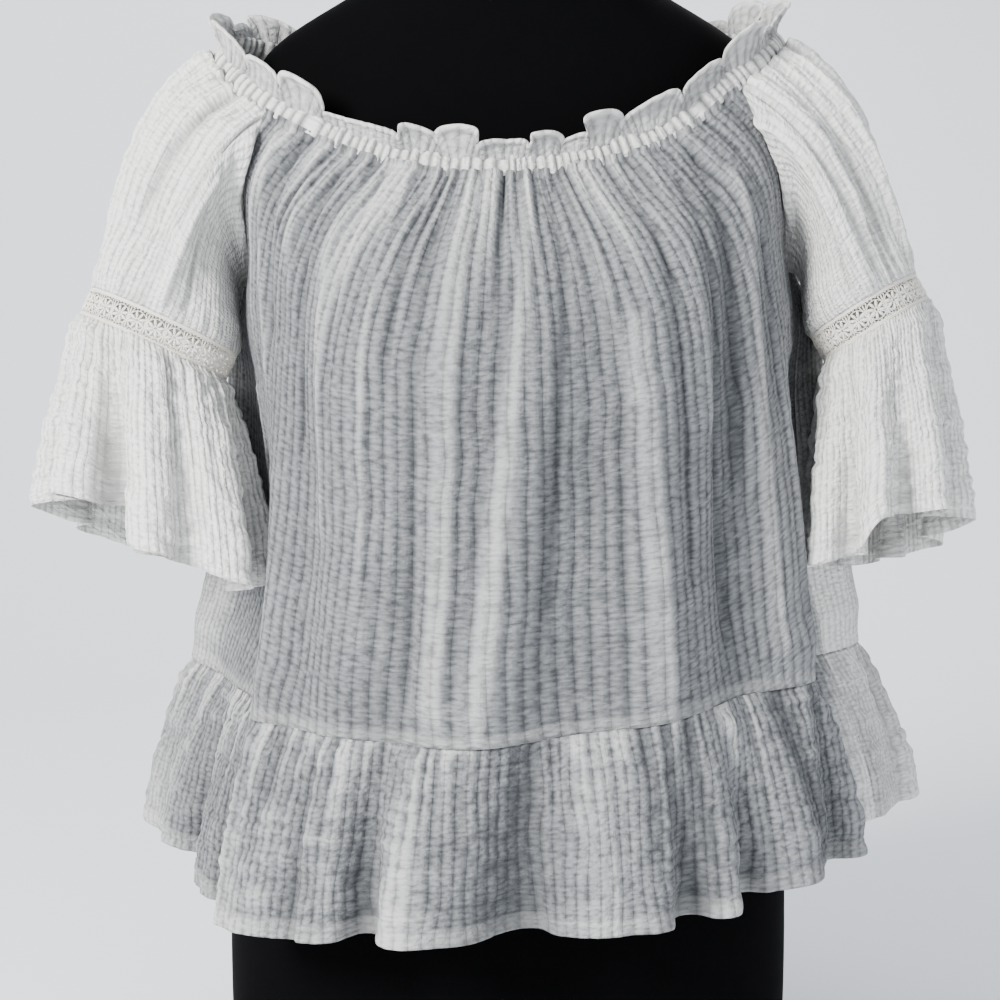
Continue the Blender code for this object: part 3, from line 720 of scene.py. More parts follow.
def add_cloth(name, grid, normals, place, along, looks, thick=GAUZE_THICK, size_round=0, sign=1):
    """Thin closed wall. place is in ribs and along in metres.

    looks holds the painted shade, band and backed, each a number or an array as large as the grid.
    A cloth with a size round is closed into a ring.
    """
    maps = dict(looks, place=place, along=along, thick=thick)
    maps = {key: np.broadcast_to(value, grid.shape[:2]) for key, value in maps.items()}
    if sign < 0:
        grid, normals = grid[:, ::-1], normals[:, ::-1]
        maps = {key: value[:, ::-1] for key, value in maps.items()}
    offset = normals * maps["thick"][..., None] / 2
    points = np.concatenate([(grid + offset).reshape(-1, 3), (grid - offset).reshape(-1, 3)])
    rows, columns = grid.shape[:2]
    place, along = maps["place"], maps["along"]
    if size_round:
        step = np.sign(place[0, 1] - place[0, 0]) * round(size_round / RIB)
        place = np.concatenate([place, place[:, :1] + step], axis=1)
        along = np.concatenate([along, along[:, :1]], axis=1)
    spans = place.shape[1]
    row, col = np.meshgrid(np.arange(rows), np.arange(spans), indexing="ij")
    corner = np.arange(2 * rows * spans).reshape(2, rows, spans)
    vertex = (np.arange(2)[:, None, None] * rows + row) * columns + col % columns
    faces = wall_faces(corner, not size_round)
    uv = np.stack([place * RIB, -along], axis=-1).reshape(-1, 2)
    values = {key: np.tile(maps[key].ravel(), 2) for key in ("shade_and_doubling", "band", "backed")}
    corner_uv = np.tile(uv, (2, 1))[faces.ravel()]
    return make_mesh(name, points, vertex.ravel()[faces], gauze, corner_uv, values)


# %% [markdown]
# The cloth is thin enough for the black form to grey it where they lie close. A
# ray from each point of the cloth back into the form measures that, so that the
# greying belongs to the cloth and stays with it from every side.

# %% How closely the form stands behind the cloth
form_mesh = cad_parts["dress_form"].data
form_tree = BVHTree.FromPolygons([corner.co for corner in form_mesh.vertices],
                                 [face.vertices for face in form_mesh.polygons])
FADE_NEAR, FADE_FAR = 45 * MM, 190 * MM
FAR_SHARE = 0.4
LEVEL_LOOK = 0.15
SOFTEN = 14


def blurred(values):
    """Each value mixed with its four neighbours."""
    padded = np.pad(values, 1, mode="edge")
    beside = padded[1:-1, :-2] + padded[1:-1, 2:]
    return (padded[:-2, 1:-1] + padded[2:, 1:-1] + beside + 2 * values) / 6


def form_behind(grid, normals, every=4):
    """1 where the form is close behind the cloth and 0 where it isn't there."""
    rows, columns = (np.unique(np.r_[np.arange(0, count, every), count - 1])
                     for count in grid.shape[:2])
    found = np.zeros((len(rows), len(columns)))
    for i, row in enumerate(rows):
        for j, col in enumerate(columns):
            way = unit(-normals[row, col] * (1, 1, LEVEL_LOOK))
            hit = form_tree.ray_cast(Vector(grid[row, col]), Vector(way), FADE_FAR)
            if hit[0] is not None:
                far = ease((hit[3] - FADE_NEAR) / (FADE_FAR - FADE_NEAR))
                found[i, j] = 1 - (1 - FAR_SHARE) * far
    for _ in range(SOFTEN):
        found = blurred(found)
    between = np.array([np.interp(np.arange(grid.shape[1]), columns, line) for line in found])
    return np.array([np.interp(np.arange(grid.shape[0]), rows, line) for line in between.T]).T


# %% [markdown]
# ## Shader maths in plain Python
# A material is a graph of nodes. Wrapping a socket in a small class lets an
# expression such as 1 - mask add its Math nodes, so that a finish reads like
# arithmetic.

# %% Finish helper
class Number:
    """A number that comes from a node's socket."""

    def __init__(self, finish, socket):
        self.finish, self.socket = finish, socket

    def math(self, operation, first, second):
        return self.finish.node("ShaderNodeMath", {"operation": operation}, {0: first, 1: second})

    def __add__(self, other):
        return self.math("ADD", self, other)

    __radd__ = __add__

    def __mul__(self, other):
        return self.math("MULTIPLY", self, other)

    __rmul__ = __mul__

    def __sub__(self, other):
        return self.math("SUBTRACT", self, other)

    def __rsub__(self, other):
        return self.math("SUBTRACT", other, self)

    def __pow__(self, other):
        return self.math("POWER", self, other)

    def __abs__(self):
        return self.math("ABSOLUTE", self, 0.0)

    def limited(self):
        return self.finish.node("ShaderNodeClamp", {}, {"Value": self})


class Finish:
    """A node material under construction."""

    def __init__(self, name, **constants):
        self.material = bpy.data.materials.new(name)
        self.material.use_nodes = True
        self.tree = self.material.node_tree
        self.shader = self.tree.nodes["Principled BSDF"]
        for socket, value in constants.items():
            self.shader.inputs[socket.replace("_", " ")].default_value = value

    def node(self, kind, settings, sockets, out=0):
        """Adds a node. Settings are set first, then socket values or links."""
        node = self.tree.nodes.new(kind)
        for key, value in settings.items():
            setattr(node, key, value)
        for key, value in sockets.items():
            if isinstance(value, Number):
                self.tree.links.new(value.socket, node.inputs[key])
            else:
                node.inputs[key].default_value = value
        return Number(self, node.outputs[out])

    def attribute(self, name):
        return self.node("ShaderNodeAttribute", {"attribute_name": name}, {}, out="Fac")

    def cloth_uv(self, scale):
        uv = self.node("ShaderNodeUVMap", {"uv_map": "cloth"}, {})
        return self.node("ShaderNodeMapping", {}, {"Vector": uv, "Scale": scale})

    def own_place(self, scale):
        place = self.node("ShaderNodeTexCoord", {}, {}, out="Object")
        return self.node("ShaderNodeMapping", {}, {"Vector": place, "Scale": scale})

    def noise(self, vector, detail=1.0):
        sockets = {"Vector": vector, "Scale": 1.0, "Detail": detail}
        return self.node("ShaderNodeTexNoise", {}, sockets, out="Fac")

    def mixed(self, factor, first, second):
        """Blend of two colours."""
        sockets = {0: factor, 6: first, 7: second}
        return self.node("ShaderNodeMix", {"data_type": "RGBA"}, sockets, out=2)

    def bump(self, height, distance, strength=1.0):
        sockets = {"Height": height, "Distance": distance, "Strength": strength}
        return self.node("ShaderNodeBump", {}, sockets)

    def feeds(self, socket, value):
        self.tree.links.new(value.socket, self.shader.inputs[socket])


# %% [markdown]
# ## The gauze
# The finish reads the ribs from the UV map: the absolute value of a sine is one
# rib, and a Voronoi cell for each rib and tie makes the beads. A fine noise tears
# their edges. Their height feeds the bump, with threads at half a millimetre for
# the open weave. The same height, weighed by the painted shade of the relief,
# picks the colour between the cream of a crown and a darker valley colour: painted
# shade in the crinkle valleys, creases and gathers. Where the form is close
# behind, two darker colours take their place, with the same painted shade, but
# less so on the highest folds, where the cloth lies double. Hems and other doubled
# bands are plain cream, and the same cream is painted as a highlight on some ridges.

# %% Gauze finish
TIE = 3.6 * MM
BEAD_HIGH = 1.4 * MM
THREADS, THREADS_LONG = 2000.0, 120.0
# Crown is the cream of the cloth. The valley colours are painted shade in valleys, creases and
# gathers, and the backed pair does the same over the dark form.
CROWN, VALLEY_SHADE = (0.84, 0.83, 0.805, 1.0), (0.38, 0.38, 0.37, 1.0)
CROWN_BACKED, VALLEY_SHADE_BACKED = (0.232, 0.239, 0.248, 1.0), (0.036, 0.039, 0.044, 1.0)
DOUBLED_AND_HIGHLIGHT = (0.84, 0.825, 0.785, 1.0)


def gauze_finish():
    finish = Finish("gauze", Roughness=0.95, Sheen_Weight=0.12, Sheen_Roughness=0.6)
    shade_and_doubling, band = finish.attribute("shade_and_doubling"), finish.attribute("band")
    backed = finish.attribute("backed")
    ties = finish.cloth_uv((1 / RIB, 1 / TIE, 1.0))
    across = finish.node("ShaderNodeSeparateXYZ", {}, {0: ties})
    rib = abs(finish.node("ShaderNodeMath", {"operation": "SINE"}, {0: across * math.pi})) ** 0.6
    bead = finish.node("ShaderNodeTexVoronoi", {"voronoi_dimensions": "2D"},
                       {"Vector": ties, "Scale": 1.0, "Randomness": 0.62}, out="Distance")
    torn = finish.noise(finish.cloth_uv((400.0, 500.0, 1.0)), 3.0)
    patches = finish.noise(finish.cloth_uv((30.0, 17.0, 1.0)))
    warp = finish.noise(finish.cloth_uv((THREADS, THREADS_LONG, 1.0)), 0.0)
    weft = finish.noise(finish.cloth_uv((THREADS_LONG, THREADS, 1.0)), 0.0)
    height = rib * 0.60 + (1.0 - bead * 1.35) * 0.70 + (torn - 0.5) * 1.3
    # Painted shade: the bead height and the painted shade of the relief set how far the colour goes
    # from the dark valley colour up to the cream crown.
    micro = (height * 1.1 - 0.27).limited()
    macro = ((shade_and_doubling - 0.5) * 1.3 + (patches - 0.5) * 0.25 + 0.5).limited()
    crown = (micro * (macro + 0.6) * 0.72 + macro * 0.28 - 0.05).limited()
    plain = finish.mixed(crown * 0.8 + 0.2, VALLEY_SHADE, CROWN)
    greyed = finish.mixed(crown, VALLEY_SHADE_BACKED, CROWN_BACKED)
    doubled = ((shade_and_doubling - 0.60) * 1.3).limited()
    greying = backed * 1.2 * (1.0 - band * 0.7) * (1.0 - doubled * 0.5)
    tint = finish.mixed(greying.limited(), plain, greyed)
    # Band: doubled hems and seam allowances are plain cream. The same cream is a painted highlight
    # where band marks crease ridges and the crowns of the casing's puffs.
    tint = finish.mixed(band * 0.85, tint, DOUBLED_AND_HIGHLIGHT)
    finish.feeds("Base Color", tint)
    finish.feeds("Normal", finish.bump(height + (warp + weft) * 0.16, BEAD_HIGH))
    return finish.material


gauze = gauze_finish()
print("finish", gauze.name, "with", len(gauze.node_tree.nodes), "nodes")

# %% [markdown]
# ## Front and back panels
# The panels are gathered into the casing, so sharp gathers radiate from it and
# die away over three to sixteen centimetres, each at its own length. They leave
# the neckline square to it and then turn to hang straight. Near a seam the
# relief fades, because stitching holds it flat, and the seam allowance makes a
# slightly whiter double band just above the ruffle. A little spare cloth fills
# out under each arm, where it meets the sleeve.

# %% Front and back
GATHER_SWING = 12.0
GATHER_TURNS = 0.07
ALLOWANCE = 8.0 * MM
BAND_EDGE = 1.5 * MM
DEEPER = 0.50
SEAM_HOLD = 10 * MM
SEAM_CALM = 30 * MM
TUCK = 0.009
LEVEL_FROM, LEVEL_GROWS = 60 * MM, 100 * MM
UNDER_ARM, UNDER_ARM_TALL = 0.515, 35 * MM
SPARE = 7 * MM


def swung_back(angle, along, middle):
    """Angle at the neckline that a gather at this place set out from."""
    own = wrapped(angle - middle)
    swing = np.sin(np.radians(np.clip(own * 90 / RAGLAN_ANGLE, -100, 100)))
    return own - GATHER_SWING * swing * (1 - np.exp(-along / GATHER_TURNS)) + middle


def add_panel(name, middle, columns, rows, creases, seed):
    falls = np.linspace(0, 1, rows)
    falls = falls * 0.75 + 0.25 * falls**1.5
    falls[0] = -TUCK
    spread = np.linspace(-1, 1, columns)
    angle = middle + np.outer(raglan_angle(falls), spread)
    fall = np.repeat(falls[:, None], columns, axis=1)
    grid = body_point(angle, fall)
    normals = grid_normals(grid, False)
    along = np.maximum(fall, 0) * body_drop(angle)
    from_seam = body_drop(angle) - along
    start = swung_back(angle, along, middle) / 360
    place, rib, pulled, level = crinkled("panel", start, along, seed, angle / 360)
    level = level * ease((along - LEVEL_FROM) / LEVEL_GROWS)
    placed = crease_wave(angle, along, creases)
    half_wide = np.linalg.norm(grid[:, -1] - grid[:, 0], axis=-1)[:, None] / 2
    held = freed((1 - np.abs(spread)) * half_wide, SEAM_HOLD, 0.25)
    sewn = freed(from_seam, SEAM_CALM, 0.2)
    allowance = ease((ALLOWANCE - from_seam) / BAND_EDGE)
    fullness = hump(grid[..., 2] - UNDER_ARM, UNDER_ARM_TALL) * ease((np.abs(spread) - 0.55) / 0.35)
    reliefs = dict(small=rib, pulled=pulled, level=level)
    height = weighed(HEIGHTS["panel"], **reliefs) + placed
    height = height * held * sewn + 0.35 * MM * allowance + SPARE * fullness
    folds = np.clip(fold_wave(angle, fall, BODY_FOLDS), -12 * MM, 16 * MM)
    # The sine adds painted shade across the body: the greying is weaker on the left and stronger on
    # the right, as though the light came from the left.
    backed = form_behind(grid, normals) * (0.95 + 0.10 * np.sin(np.radians(angle)))
    grid = raised(grid, normals, height + DEEPER * folds * sewn)
    # Painted shade: darker in the valleys of the gathers, creases and long folds, lighter on their
    # ridges.
    shade_and_doubling = weighed(SHADE_AND_DOUBLING["panel"], folds=folds, placed=placed, **reliefs)
    # The ridge of each placed crease is painted lighter. This is partly cloth lying double and
    # partly a painted highlight.
    crest = ease((placed - 1.4 * MM) / (1.2 * MM))
    band = np.clip(0.13 * allowance + 0.10 * crest, 0, 1)
    looks = dict(shade_and_doubling=shade_and_doubling, band=band, backed=backed)
    return add_cloth(name, grid, normals, place, along, looks)


front_panel = add_panel("front_panel", 0, 384, 122, FRONT_CREASES, 100)
back_panel = add_panel("back_panel", 180, 284, 84, BACK_CREASES, 200)

# %% [markdown]
# ## Ruffle
# The ruffle is a straight strip, almost half as long again as the seam that it is
# gathered into. It is all crinkle: small cells, about as high as they are wide.
# Its hem is turned up twice, which makes a thicker opaque band below a line of
# stitches. The seam pinches its top edge in, and the side seams hold it flat.

# %% Ruffle pieces
HEM_TALL = 13 * MM
STITCH_IN, STITCH_WIDE = 1.5 * MM, 1.1 * MM
HEM_FLAT = 0.4
RUFFLE_TALL = 0.122
PINCH, PINCH_TALL = 1.2 * MM, 4 * MM
TOP_CALM = 12 * MM


def hem_profile(from_hem, tall):
    """1 in the turned-up band and 0 above its stitch line, and the stitches' groove."""
    inside = ease((tall - from_hem) / (1.2 * MM))
    return inside, hump(from_hem - tall + STITCH_IN, STITCH_WIDE)


def add_ruffle(name, middle, columns, rows, seed):
    spread = np.linspace(-1, 1, columns)
    angle, drop = np.meshgrid(middle + SIDE_ANGLE * spread, np.linspace(0, 1, rows))
    grid = ruffle_point(angle, drop)
    normals = grid_normals(grid, False)
    along = drop * RUFFLE_TALL
    place, small, pulled, level = crinkled("ruffle", angle / 360, along, seed)
    placed = crease_wave(angle, along, RUFFLE_CREASES)
    hem, groove = hem_profile(RUFFLE_TALL - along, HEM_TALL)
    reliefs = dict(pulled=pulled, level=level, groove=groove)
    height = weighed(HEIGHTS["ruffle"], small=small * (1 - HEM_FLAT * hem), **reliefs)
    height = height + placed - PINCH * np.exp(-along / PINCH_TALL)
    folds = pleat_wave(angle, RUFFLE_FOLDS) * drop
    held = freed((1 - np.abs(spread)) * RUFFLE_ROUND / 4, SEAM_HOLD, 0.1)
    # The sine adds painted shade across the ruffle: the greying is weaker on the left and stronger
    # on the right, as though the light came from the left.
    backed = form_behind(grid, normals) * (0.98 + 0.16 * np.sin(np.radians(angle)))
    grid = raised(grid, normals, (height * freed(along, TOP_CALM, 0.2) + deepened(folds)) * held)
    # Painted shade: darker in the pleat and crease valleys and in the stitch groove, lighter on the
    # ridges.
    shade_and_doubling = weighed(SHADE_AND_DOUBLING["ruffle"], small=small, folds=folds, placed=placed, **reliefs)
    looks = dict(shade_and_doubling=shade_and_doubling, band=0.10 * hem, backed=backed)
    thick = GAUZE_THICK + 0.8 * MM * hem
    return add_cloth(name, grid, normals, place, along, looks, thick)


ruffle_front = add_ruffle("front_ruffle", 0, 420, 66, 300)
ruffle_back = add_ruffle("back_ruffle", 180, 300, 44, 400)

# %% [markdown]
# ## Sleeves
# A raglan sleeve has gathers from the casing over the shoulder and from the lace
# upwards, with soft long creases between them. Beside the front panel it rolls
# forward a little over its seam.

# %% Sleeve pieces
SLEEVE_LONG = 0.17
FRONT_ROLL, ROLL_PLACE, ROLL_WIDE = 6.5 * MM, 11 * MM, 7 * MM
CUFF_GATHERS = 24 * MM
CUFF_CALM = 14 * MM
RAGLAN_HOLD = 8 * MM
SLEEVE_CREASES = dict(
    left=(
        (178, 172, 6, 2.8, 0, 0.15), (160, 166, 4, -3.0, 0, 0.17), (146, 142, 5, 2.8, 0, 0.17),
        (132, 130, 3, -3.4, 0, 0.13), (116, 120, 5, 2.6, 0.02, 0.17), (103, 100, 3, -3.0, 0, 0.11),
        (88, 92, 4, 2.4, 0.04, 0.17), (76, 74, 4, -2.8, 0.06, 0.17), (205, 210, 6, 2.8, 0, 0.17),
        (236, 228, 4, -2.8, 0.02, 0.15), (262, 268, 6, 2.6, 0, 0.17),
        (290, 284, 4, -2.6, 0.03, 0.17),
    ),
    right=(
        (182, 176, 6, 2.8, 0, 0.16), (163, 168, 4, -3.2, 0, 0.14), (148, 150, 5, 3.0, 0, 0.17),
        (136, 130, 3, -2.8, 0, 0.17), (119, 114, 5, 2.8, 0, 0.14), (106, 108, 3, -3.2, 0, 0.17),
        (92, 86, 4, 2.6, 0, 0.17), (74, 78, 4, -2.8, 0.05, 0.17), (208, 202, 6, 2.8, 0, 0.16),
        (232, 238, 4, -3.0, 0, 0.17), (258, 252, 6, 2.8, 0.02, 0.17), (286, 292, 4, -2.6, 0, 0.15),
    ),
)


def add_sleeve(side, seed):
    places = np.concatenate([np.linspace(0, 2, 140)[:-1], np.linspace(2, 3, 116)[:-1]])
    spot, way = np.meshgrid(places, np.linspace(0, 1, 74))
    grid = sleeve_point(side, spot, way)
    normals = grid_normals(grid, True, -SIDES[side])
    turns = sleeve_turn(spot)
    turn, along = turns / 360, way * SLEEVE_LONG
    from_cuff = SLEEVE_LONG - along
    place, small, pulled, level = crinkled("sleeve", turn, along, seed)
    over = ease((spot - 2.0) / 0.06) * ease((3.0 - spot) / 0.06)
    pulled = pulled * over
    cuffed = gathers(turn, from_cuff, SLEEVE_ROUND, seed + 20, CUFF_GATHERS)
    placed = 1.5 * crease_wave(turns, along, SLEEVE_CREASES[side])
    beside = ease(spot / 0.12) * ease((0.85 - spot) / 0.30)
    rolled = FRONT_ROLL * hump(along - ROLL_PLACE, ROLL_WIDE) * beside
    reliefs = dict(small=small, pulled=pulled, level=level, cuffed=cuffed)
    height = weighed(HEIGHTS["sleeve"], **reliefs) + placed + rolled
    held = 1 - 0.8 * (1 - over) * ease((RAGLAN_HOLD - along) / RAGLAN_HOLD)
    grid = raised(grid, normals, height * freed(from_cuff, CUFF_CALM, 0.15) * held)
    # Painted shade: darker in the valleys of the gathers and creases, lighter on the ridges. Band
    # paints the crease crests lighter, partly as doubled cloth and partly as a painted highlight.
    shade_and_doubling = weighed(SHADE_AND_DOUBLING["sleeve"], placed=placed, **reliefs)
    looks = dict(shade_and_doubling=shade_and_doubling, band=0.3 * ease((placed - 1.6 * MM) / MM), backed=0.0)
    return add_cloth(f"sleeve_cloth_{side}", grid, normals, place, along, looks,
                     size_round=SLEEVE_ROUND, sign=-SIDES[side])


sleeves = {side: add_sleeve(side, 500 + 50 * number) for number, side in enumerate(SIDES)}

# %% [markdown]
# ## Flounces
# The flounce falls from the lace in a cone of folds. Like the ruffle it is
# crinkled in small cells, and its narrow hem is opaque. One fold lies over the
# next on its front, so the hem drops lower before that step and rises after it.

# %% Flounce pieces
FLOUNCE_TALL = 0.135
NARROW_HEM = 10 * MM
FLOUNCE_DEEPER = 1.7
# turn of the step in the hem, and how far it drops before the step and rises after it
HEM_STEPS = dict(left=(110, 16 * MM, 7 * MM), right=(74, 14 * MM, 3 * MM))


def hem_step(side, turns):
    """How much lower the hem hangs where one fold lies over the next."""
    step, lower, higher = HEM_STEPS[side]
    before = ease(turns / 25) * ease((step + 5 - turns) / 10)
    after = ease((turns - step + 5) / 10) * ease((190 - turns) / 35)
    return lower * before - higher * after


def add_flounce(side, seed):
    turns, drop = np.meshgrid(np.arange(300) * 360 / 300, np.linspace(0, 1, 64))
    grid = flounce_point(side, turns, drop)
    grid[..., 2] -= hem_step(side, turns) * drop**1.5
    normals = grid_normals(grid, True, SIDES[side])
    along = drop * FLOUNCE_TALL
    place, small, pulled, level = crinkled("flounce", turns / 360, along, seed)
    hem, groove = hem_profile(FLOUNCE_TALL - along, NARROW_HEM)
    folds = pleat_wave(turns, FLOUNCE_FOLDS[side]) * drop
    reliefs = dict(pulled=pulled, level=level, groove=groove)
    height = weighed(HEIGHTS["flounce"], small=small * (1 - HEM_FLAT * hem), **reliefs)
    height = height * freed(along, TOP_CALM, 0.3)
    grid = raised(grid, normals, height + FLOUNCE_DEEPER * deepened(folds))
    # Painted shade: darker in the fold and gather valleys and in the stitch groove, lighter on the
    # ridges.
    shade_and_doubling = weighed(SHADE_AND_DOUBLING["flounce"], small=small, folds=folds, **reliefs)
    looks = dict(shade_and_doubling=shade_and_doubling, band=0.12 * hem, backed=0.0)
    thick = GAUZE_THICK + 0.7 * MM * hem
    return add_cloth(f"flounce_cloth_{side}", grid, normals, place, along, looks, thick,
                     FLOUNCE_ROUND, SIDES[side])


flounces = {side: add_flounce(side, 600 + 50 * number) for number, side in enumerate(SIDES)}

# %% [markdown]
# ## Casing
# Elastic draws the casing up into rounded puffs a little over six millimetres wide.
# The tube's section is an oval. It swells between the creases and is pinched at
# each one, and its stitch lines nip it in along both edges.

# %% Puffed casing
PUFF, PUFF_STEPS, TUBE_SIDES = 6.4 * MM, 9, 16
TUBE_ROUND = 30 * MM
NIP_WIDE = 0.13
# place of each stitch line up the tube's section, from -1 to 1, and how far it nips in
NIPS = ((-0.74, 0.35), (0.80, 0.25))


def turn_noise(turn, around, seed):
    """Noise along one closed turn, on a number of cells."""
    return noise(turn * around, turn * 0, seed, around)


def add_casing(seed):
    puffs, sides = int(NECK_ROUND / PUFF), TUBE_SIDES
    steps = puffs * PUFF_STEPS
    turn = np.arange(steps) / steps
    still = turn * 0
    warp = turn_noise(turn, 60, seed) * 0.0042 + turn_noise(turn, 21, seed + 1) * 0.006
    point, up, out = neck_frame(turn * 360)
    phase = (turn + warp) * puffs
    crease = np.abs(np.sin(np.pi * phase)) ** 0.5
    swell = crease * (0.72 + 0.45 * noise(np.floor(phase), still, seed + 2))
    swell = swell * (0.80 + 0.55 * hills(turn, still, (0.0040, 1.0), NECK_ROUND, seed + 4))
    drift = 1.2 * MM * turn_noise(turn, 70, seed + 3)
    centre = raised(point, up, CASING_TALL / 2 + CASING_LIFT + drift)
    rows = []
    for side in np.arange(sides) * 2 * np.pi / sides:
        across, tall = np.cos(side), np.sin(side)
        across = np.sign(across) * abs(across) ** 0.8
        nip = 1 - sum(share * hump(tall - place, NIP_WIDE) for place, share in NIPS)
        depth = CASING_THICK / 2 * (0.40 + 0.95 * swell) * nip
        high = CASING_TALL / 2 * (1.06 + 0.22 * swell)
        rows.append(raised(raised(centre, out, across * depth), up, tall * high))
    grid = np.stack(rows)
    row, col = np.meshgrid(np.arange(sides + 1), np.arange(steps + 1), indexing="ij")
    vertex = (row % sides) * steps + col % steps
    corner = np.arange((sides + 1) * (steps + 1)).reshape(sides + 1, steps + 1)
    faces = quads(corner[:-1, :-1], corner[:-1, 1:], corner[1:, 1:], corner[1:, :-1])
    whole_phase = np.append(phase, phase[0] + puffs)
    uv = np.stack([whole_phase[col] * RIB, row / sides * TUBE_ROUND], -1).reshape(-1, 2)
    # Painted shade and highlight: the puffs are darker at their pinches and painted whiter on their
    # crowns.
    looks = dict(shade_and_doubling=2.0 * crease - 1.1, band=0.6 * crease**2, backed=still + 0.5)
    values = {key: np.tile(value, sides) for key, value in looks.items()}
    return make_mesh("casing_puffs", grid.reshape(-1, 3), vertex.ravel()[faces], gauze,
                     uv[faces.ravel()], values)


casing = add_casing(700)

# %% [markdown]
# ## Header frill
# Above the casing a narrow header stands up and rolls over in uneven, rounded
# lobes. Each lobe leans forward on one side and back on the other, so that
# neighbours overlap as the folds of a gathered edge do. The edge is a rolled hem,
# thicker and creamier than the thin cloth below it.

# %% Frill of uneven lobes
FRILL_HIGH = 18 * MM
FRILL_LOBES = 31
FRILL_LEAN = 5.0 * MM
FRILL_OVERLAP = 5.0 * MM
FRILL_CLOTH = 16 * MM
FRILL_STEPS, FRILL_ROWS = 1120, 13
CURL_FROM, CURL_OUT = 0.60, 4.5 * MM
EDGE_ROLL = 3.0 * MM


def add_frill(seed):
    steps = np.arange(FRILL_STEPS) / FRILL_STEPS
    turn, way = np.meshgrid(steps, np.linspace(1, 0, FRILL_ROWS))
    still = turn * 0
    warp = turn_noise(turn, 13, seed) * 0.018 + turn_noise(turn, 37, seed + 1) * 0.006
    phase = (turn + warp) * FRILL_LOBES
    arch = np.abs(np.sin(np.pi * phase)) ** 0.85
    own = noise(np.floor(phase) % FRILL_LOBES, still, seed + 2)
    point, up, out = neck_frame(turn * 360)
    beside = np.cross(up, out)
    tall = FRILL_HIGH * (0.40 + 0.62 * arch + 0.30 * own * arch)
    lean = FRILL_LEAN * (1.1 * np.cos(np.pi * phase) + (0.5 + own) * arch) * way
    aside = -FRILL_OVERLAP * (1 + 0.6 * own) * np.sin(2 * np.pi * phase) * way**1.5
    curl = ease((way - CURL_FROM) / (1 - CURL_FROM)) * arch
    pucker = hills(turn, still, (0.0062, 1.0), NECK_ROUND, seed + 4) - 0.4
    pucker = 2.0 * MM * pucker * (1 - way * 0.5)
    lift = FRILL_FOOT - 1.6 * MM + tall * (way - 0.20 * curl)
    upright = unit(up + stack(0, 0, 1) * way[..., None])
    grid = raised(raised(point, upright, lift), beside, aside)
    grid = raised(grid, out, lean + pucker + CURL_OUT * curl)
    normals = grid_normals(grid, True)
    along = (1 - way) * FRILL_CLOTH
    place = rib_place(turn, still, NECK_ROUND, seed + 5)
    small = 0.5 * ribs(place, along, seed + 6) + 0.7 * cells(place, along, seed + 7)
    grid = raised(grid, normals, 0.9 * MM * small)
    edge = ease((EDGE_ROLL - (1 - way) * tall) / (1.2 * MM))
    # Painted shade: darker between the lobes. The rolled edge's band is the doubled cloth of its
    # hem.
    looks = dict(shade_and_doubling=0.38 + 0.25 * small - 0.4 * (1 - arch), band=0.50 * edge, backed=0.45)
    thick = GAUZE_THICK + MM * edge
    return add_cloth("header_frill", grid, normals, place, along, looks, thick, NECK_ROUND)


frill = add_frill(800)

# %% [markdown]
# ## Lace
# The cotton lace is a narrow band with corded edges. Between them eight-leaved
# wheels stand in a net of short bars. One repeat is drawn as lines in
# millimetres, each with its thread's radius, and then laid round the sleeve's
# oval. Leaves are spindles: thick in the middle and pointed at both ends.

# %% Lace pattern
LACE_REPEAT = 14.0
LACE_HIGH = LACE_TALL / MM
LACE_MID = LACE_HIGH / 2
HUB, EYE, LEAF_FROM, WHEEL = 1.5, 1.3, 1.7, 6.6
LEAVES, MESHES = 8, 5
CORD, CORD_WAVE, CORD_PITCH = 0.58, 0.12, 3.5


def arc_line(centre, radius, thread, first=0, last=360, steps=10):
    turns = np.radians(np.linspace(first, last, steps + 1))
    across = centre[0] + radius * np.cos(turns)
    down = centre[1] + radius * np.sin(turns)
    return np.stack([across, down, np.full_like(across, thread)], axis=1)


def straight(start, end, thread, steps=2, leaf=False):
    way = np.linspace(0, 1, steps + 1)
    across = start[0] + (end[0] - start[0]) * way
    down = start[1] + (end[1] - start[1]) * way
    swell = np.sin(np.pi * (0.08 + 0.84 * way)) ** 0.8 if leaf else np.ones_like(way)
    return np.stack([across, down, thread * swell], axis=1)


def lace_repeat():
    """Lines of one repeat: across, down and thread radius in millimetres."""
    centre = (LACE_REPEAT / 2, LACE_MID)
    lines = [arc_line(centre, HUB, 0.42), arc_line(centre, WHEEL, 0.32, steps=20)]
    for number in range(LEAVES):
        turn = 2 * math.pi * (number + 0.5) / LEAVES
        start, end = ((centre[0] + reach * math.cos(turn), centre[1] + reach * math.sin(turn))
                      for reach in (LEAF_FROM, WHEEL))
        lines.append(straight(start, end, 1.05, 5, leaf=True))
    for x, near in ((0.0, 1), (LACE_REPEAT, -1)):
        for down in (3.0, LACE_HIGH - 3.0):
            lines.append(straight((x, LACE_MID), (x + near * 2.6, down), 0.40, 3))
    lines.append(arc_line((0.0, LACE_MID), EYE, 0.42))
    for first, last in ((2.5, LACE_MID - EYE), (LACE_MID + EYE, LACE_HIGH - 2.5)):
        lines.append(straight((0.0, first), (0.0, last), 0.62, 4, leaf=True))
    for number in range(MESHES):
        x = LACE_REPEAT * (number + 0.5) / MESHES
        for edge, away in ((1.9, 3.3), (LACE_HIGH - 1.9, LACE_HIGH - 3.3)):
            lines.append(straight((x - 1.1, edge), (x, away), 0.30))
            lines.append(straight((x, away), (x + 1.1, edge), 0.30))
    return lines


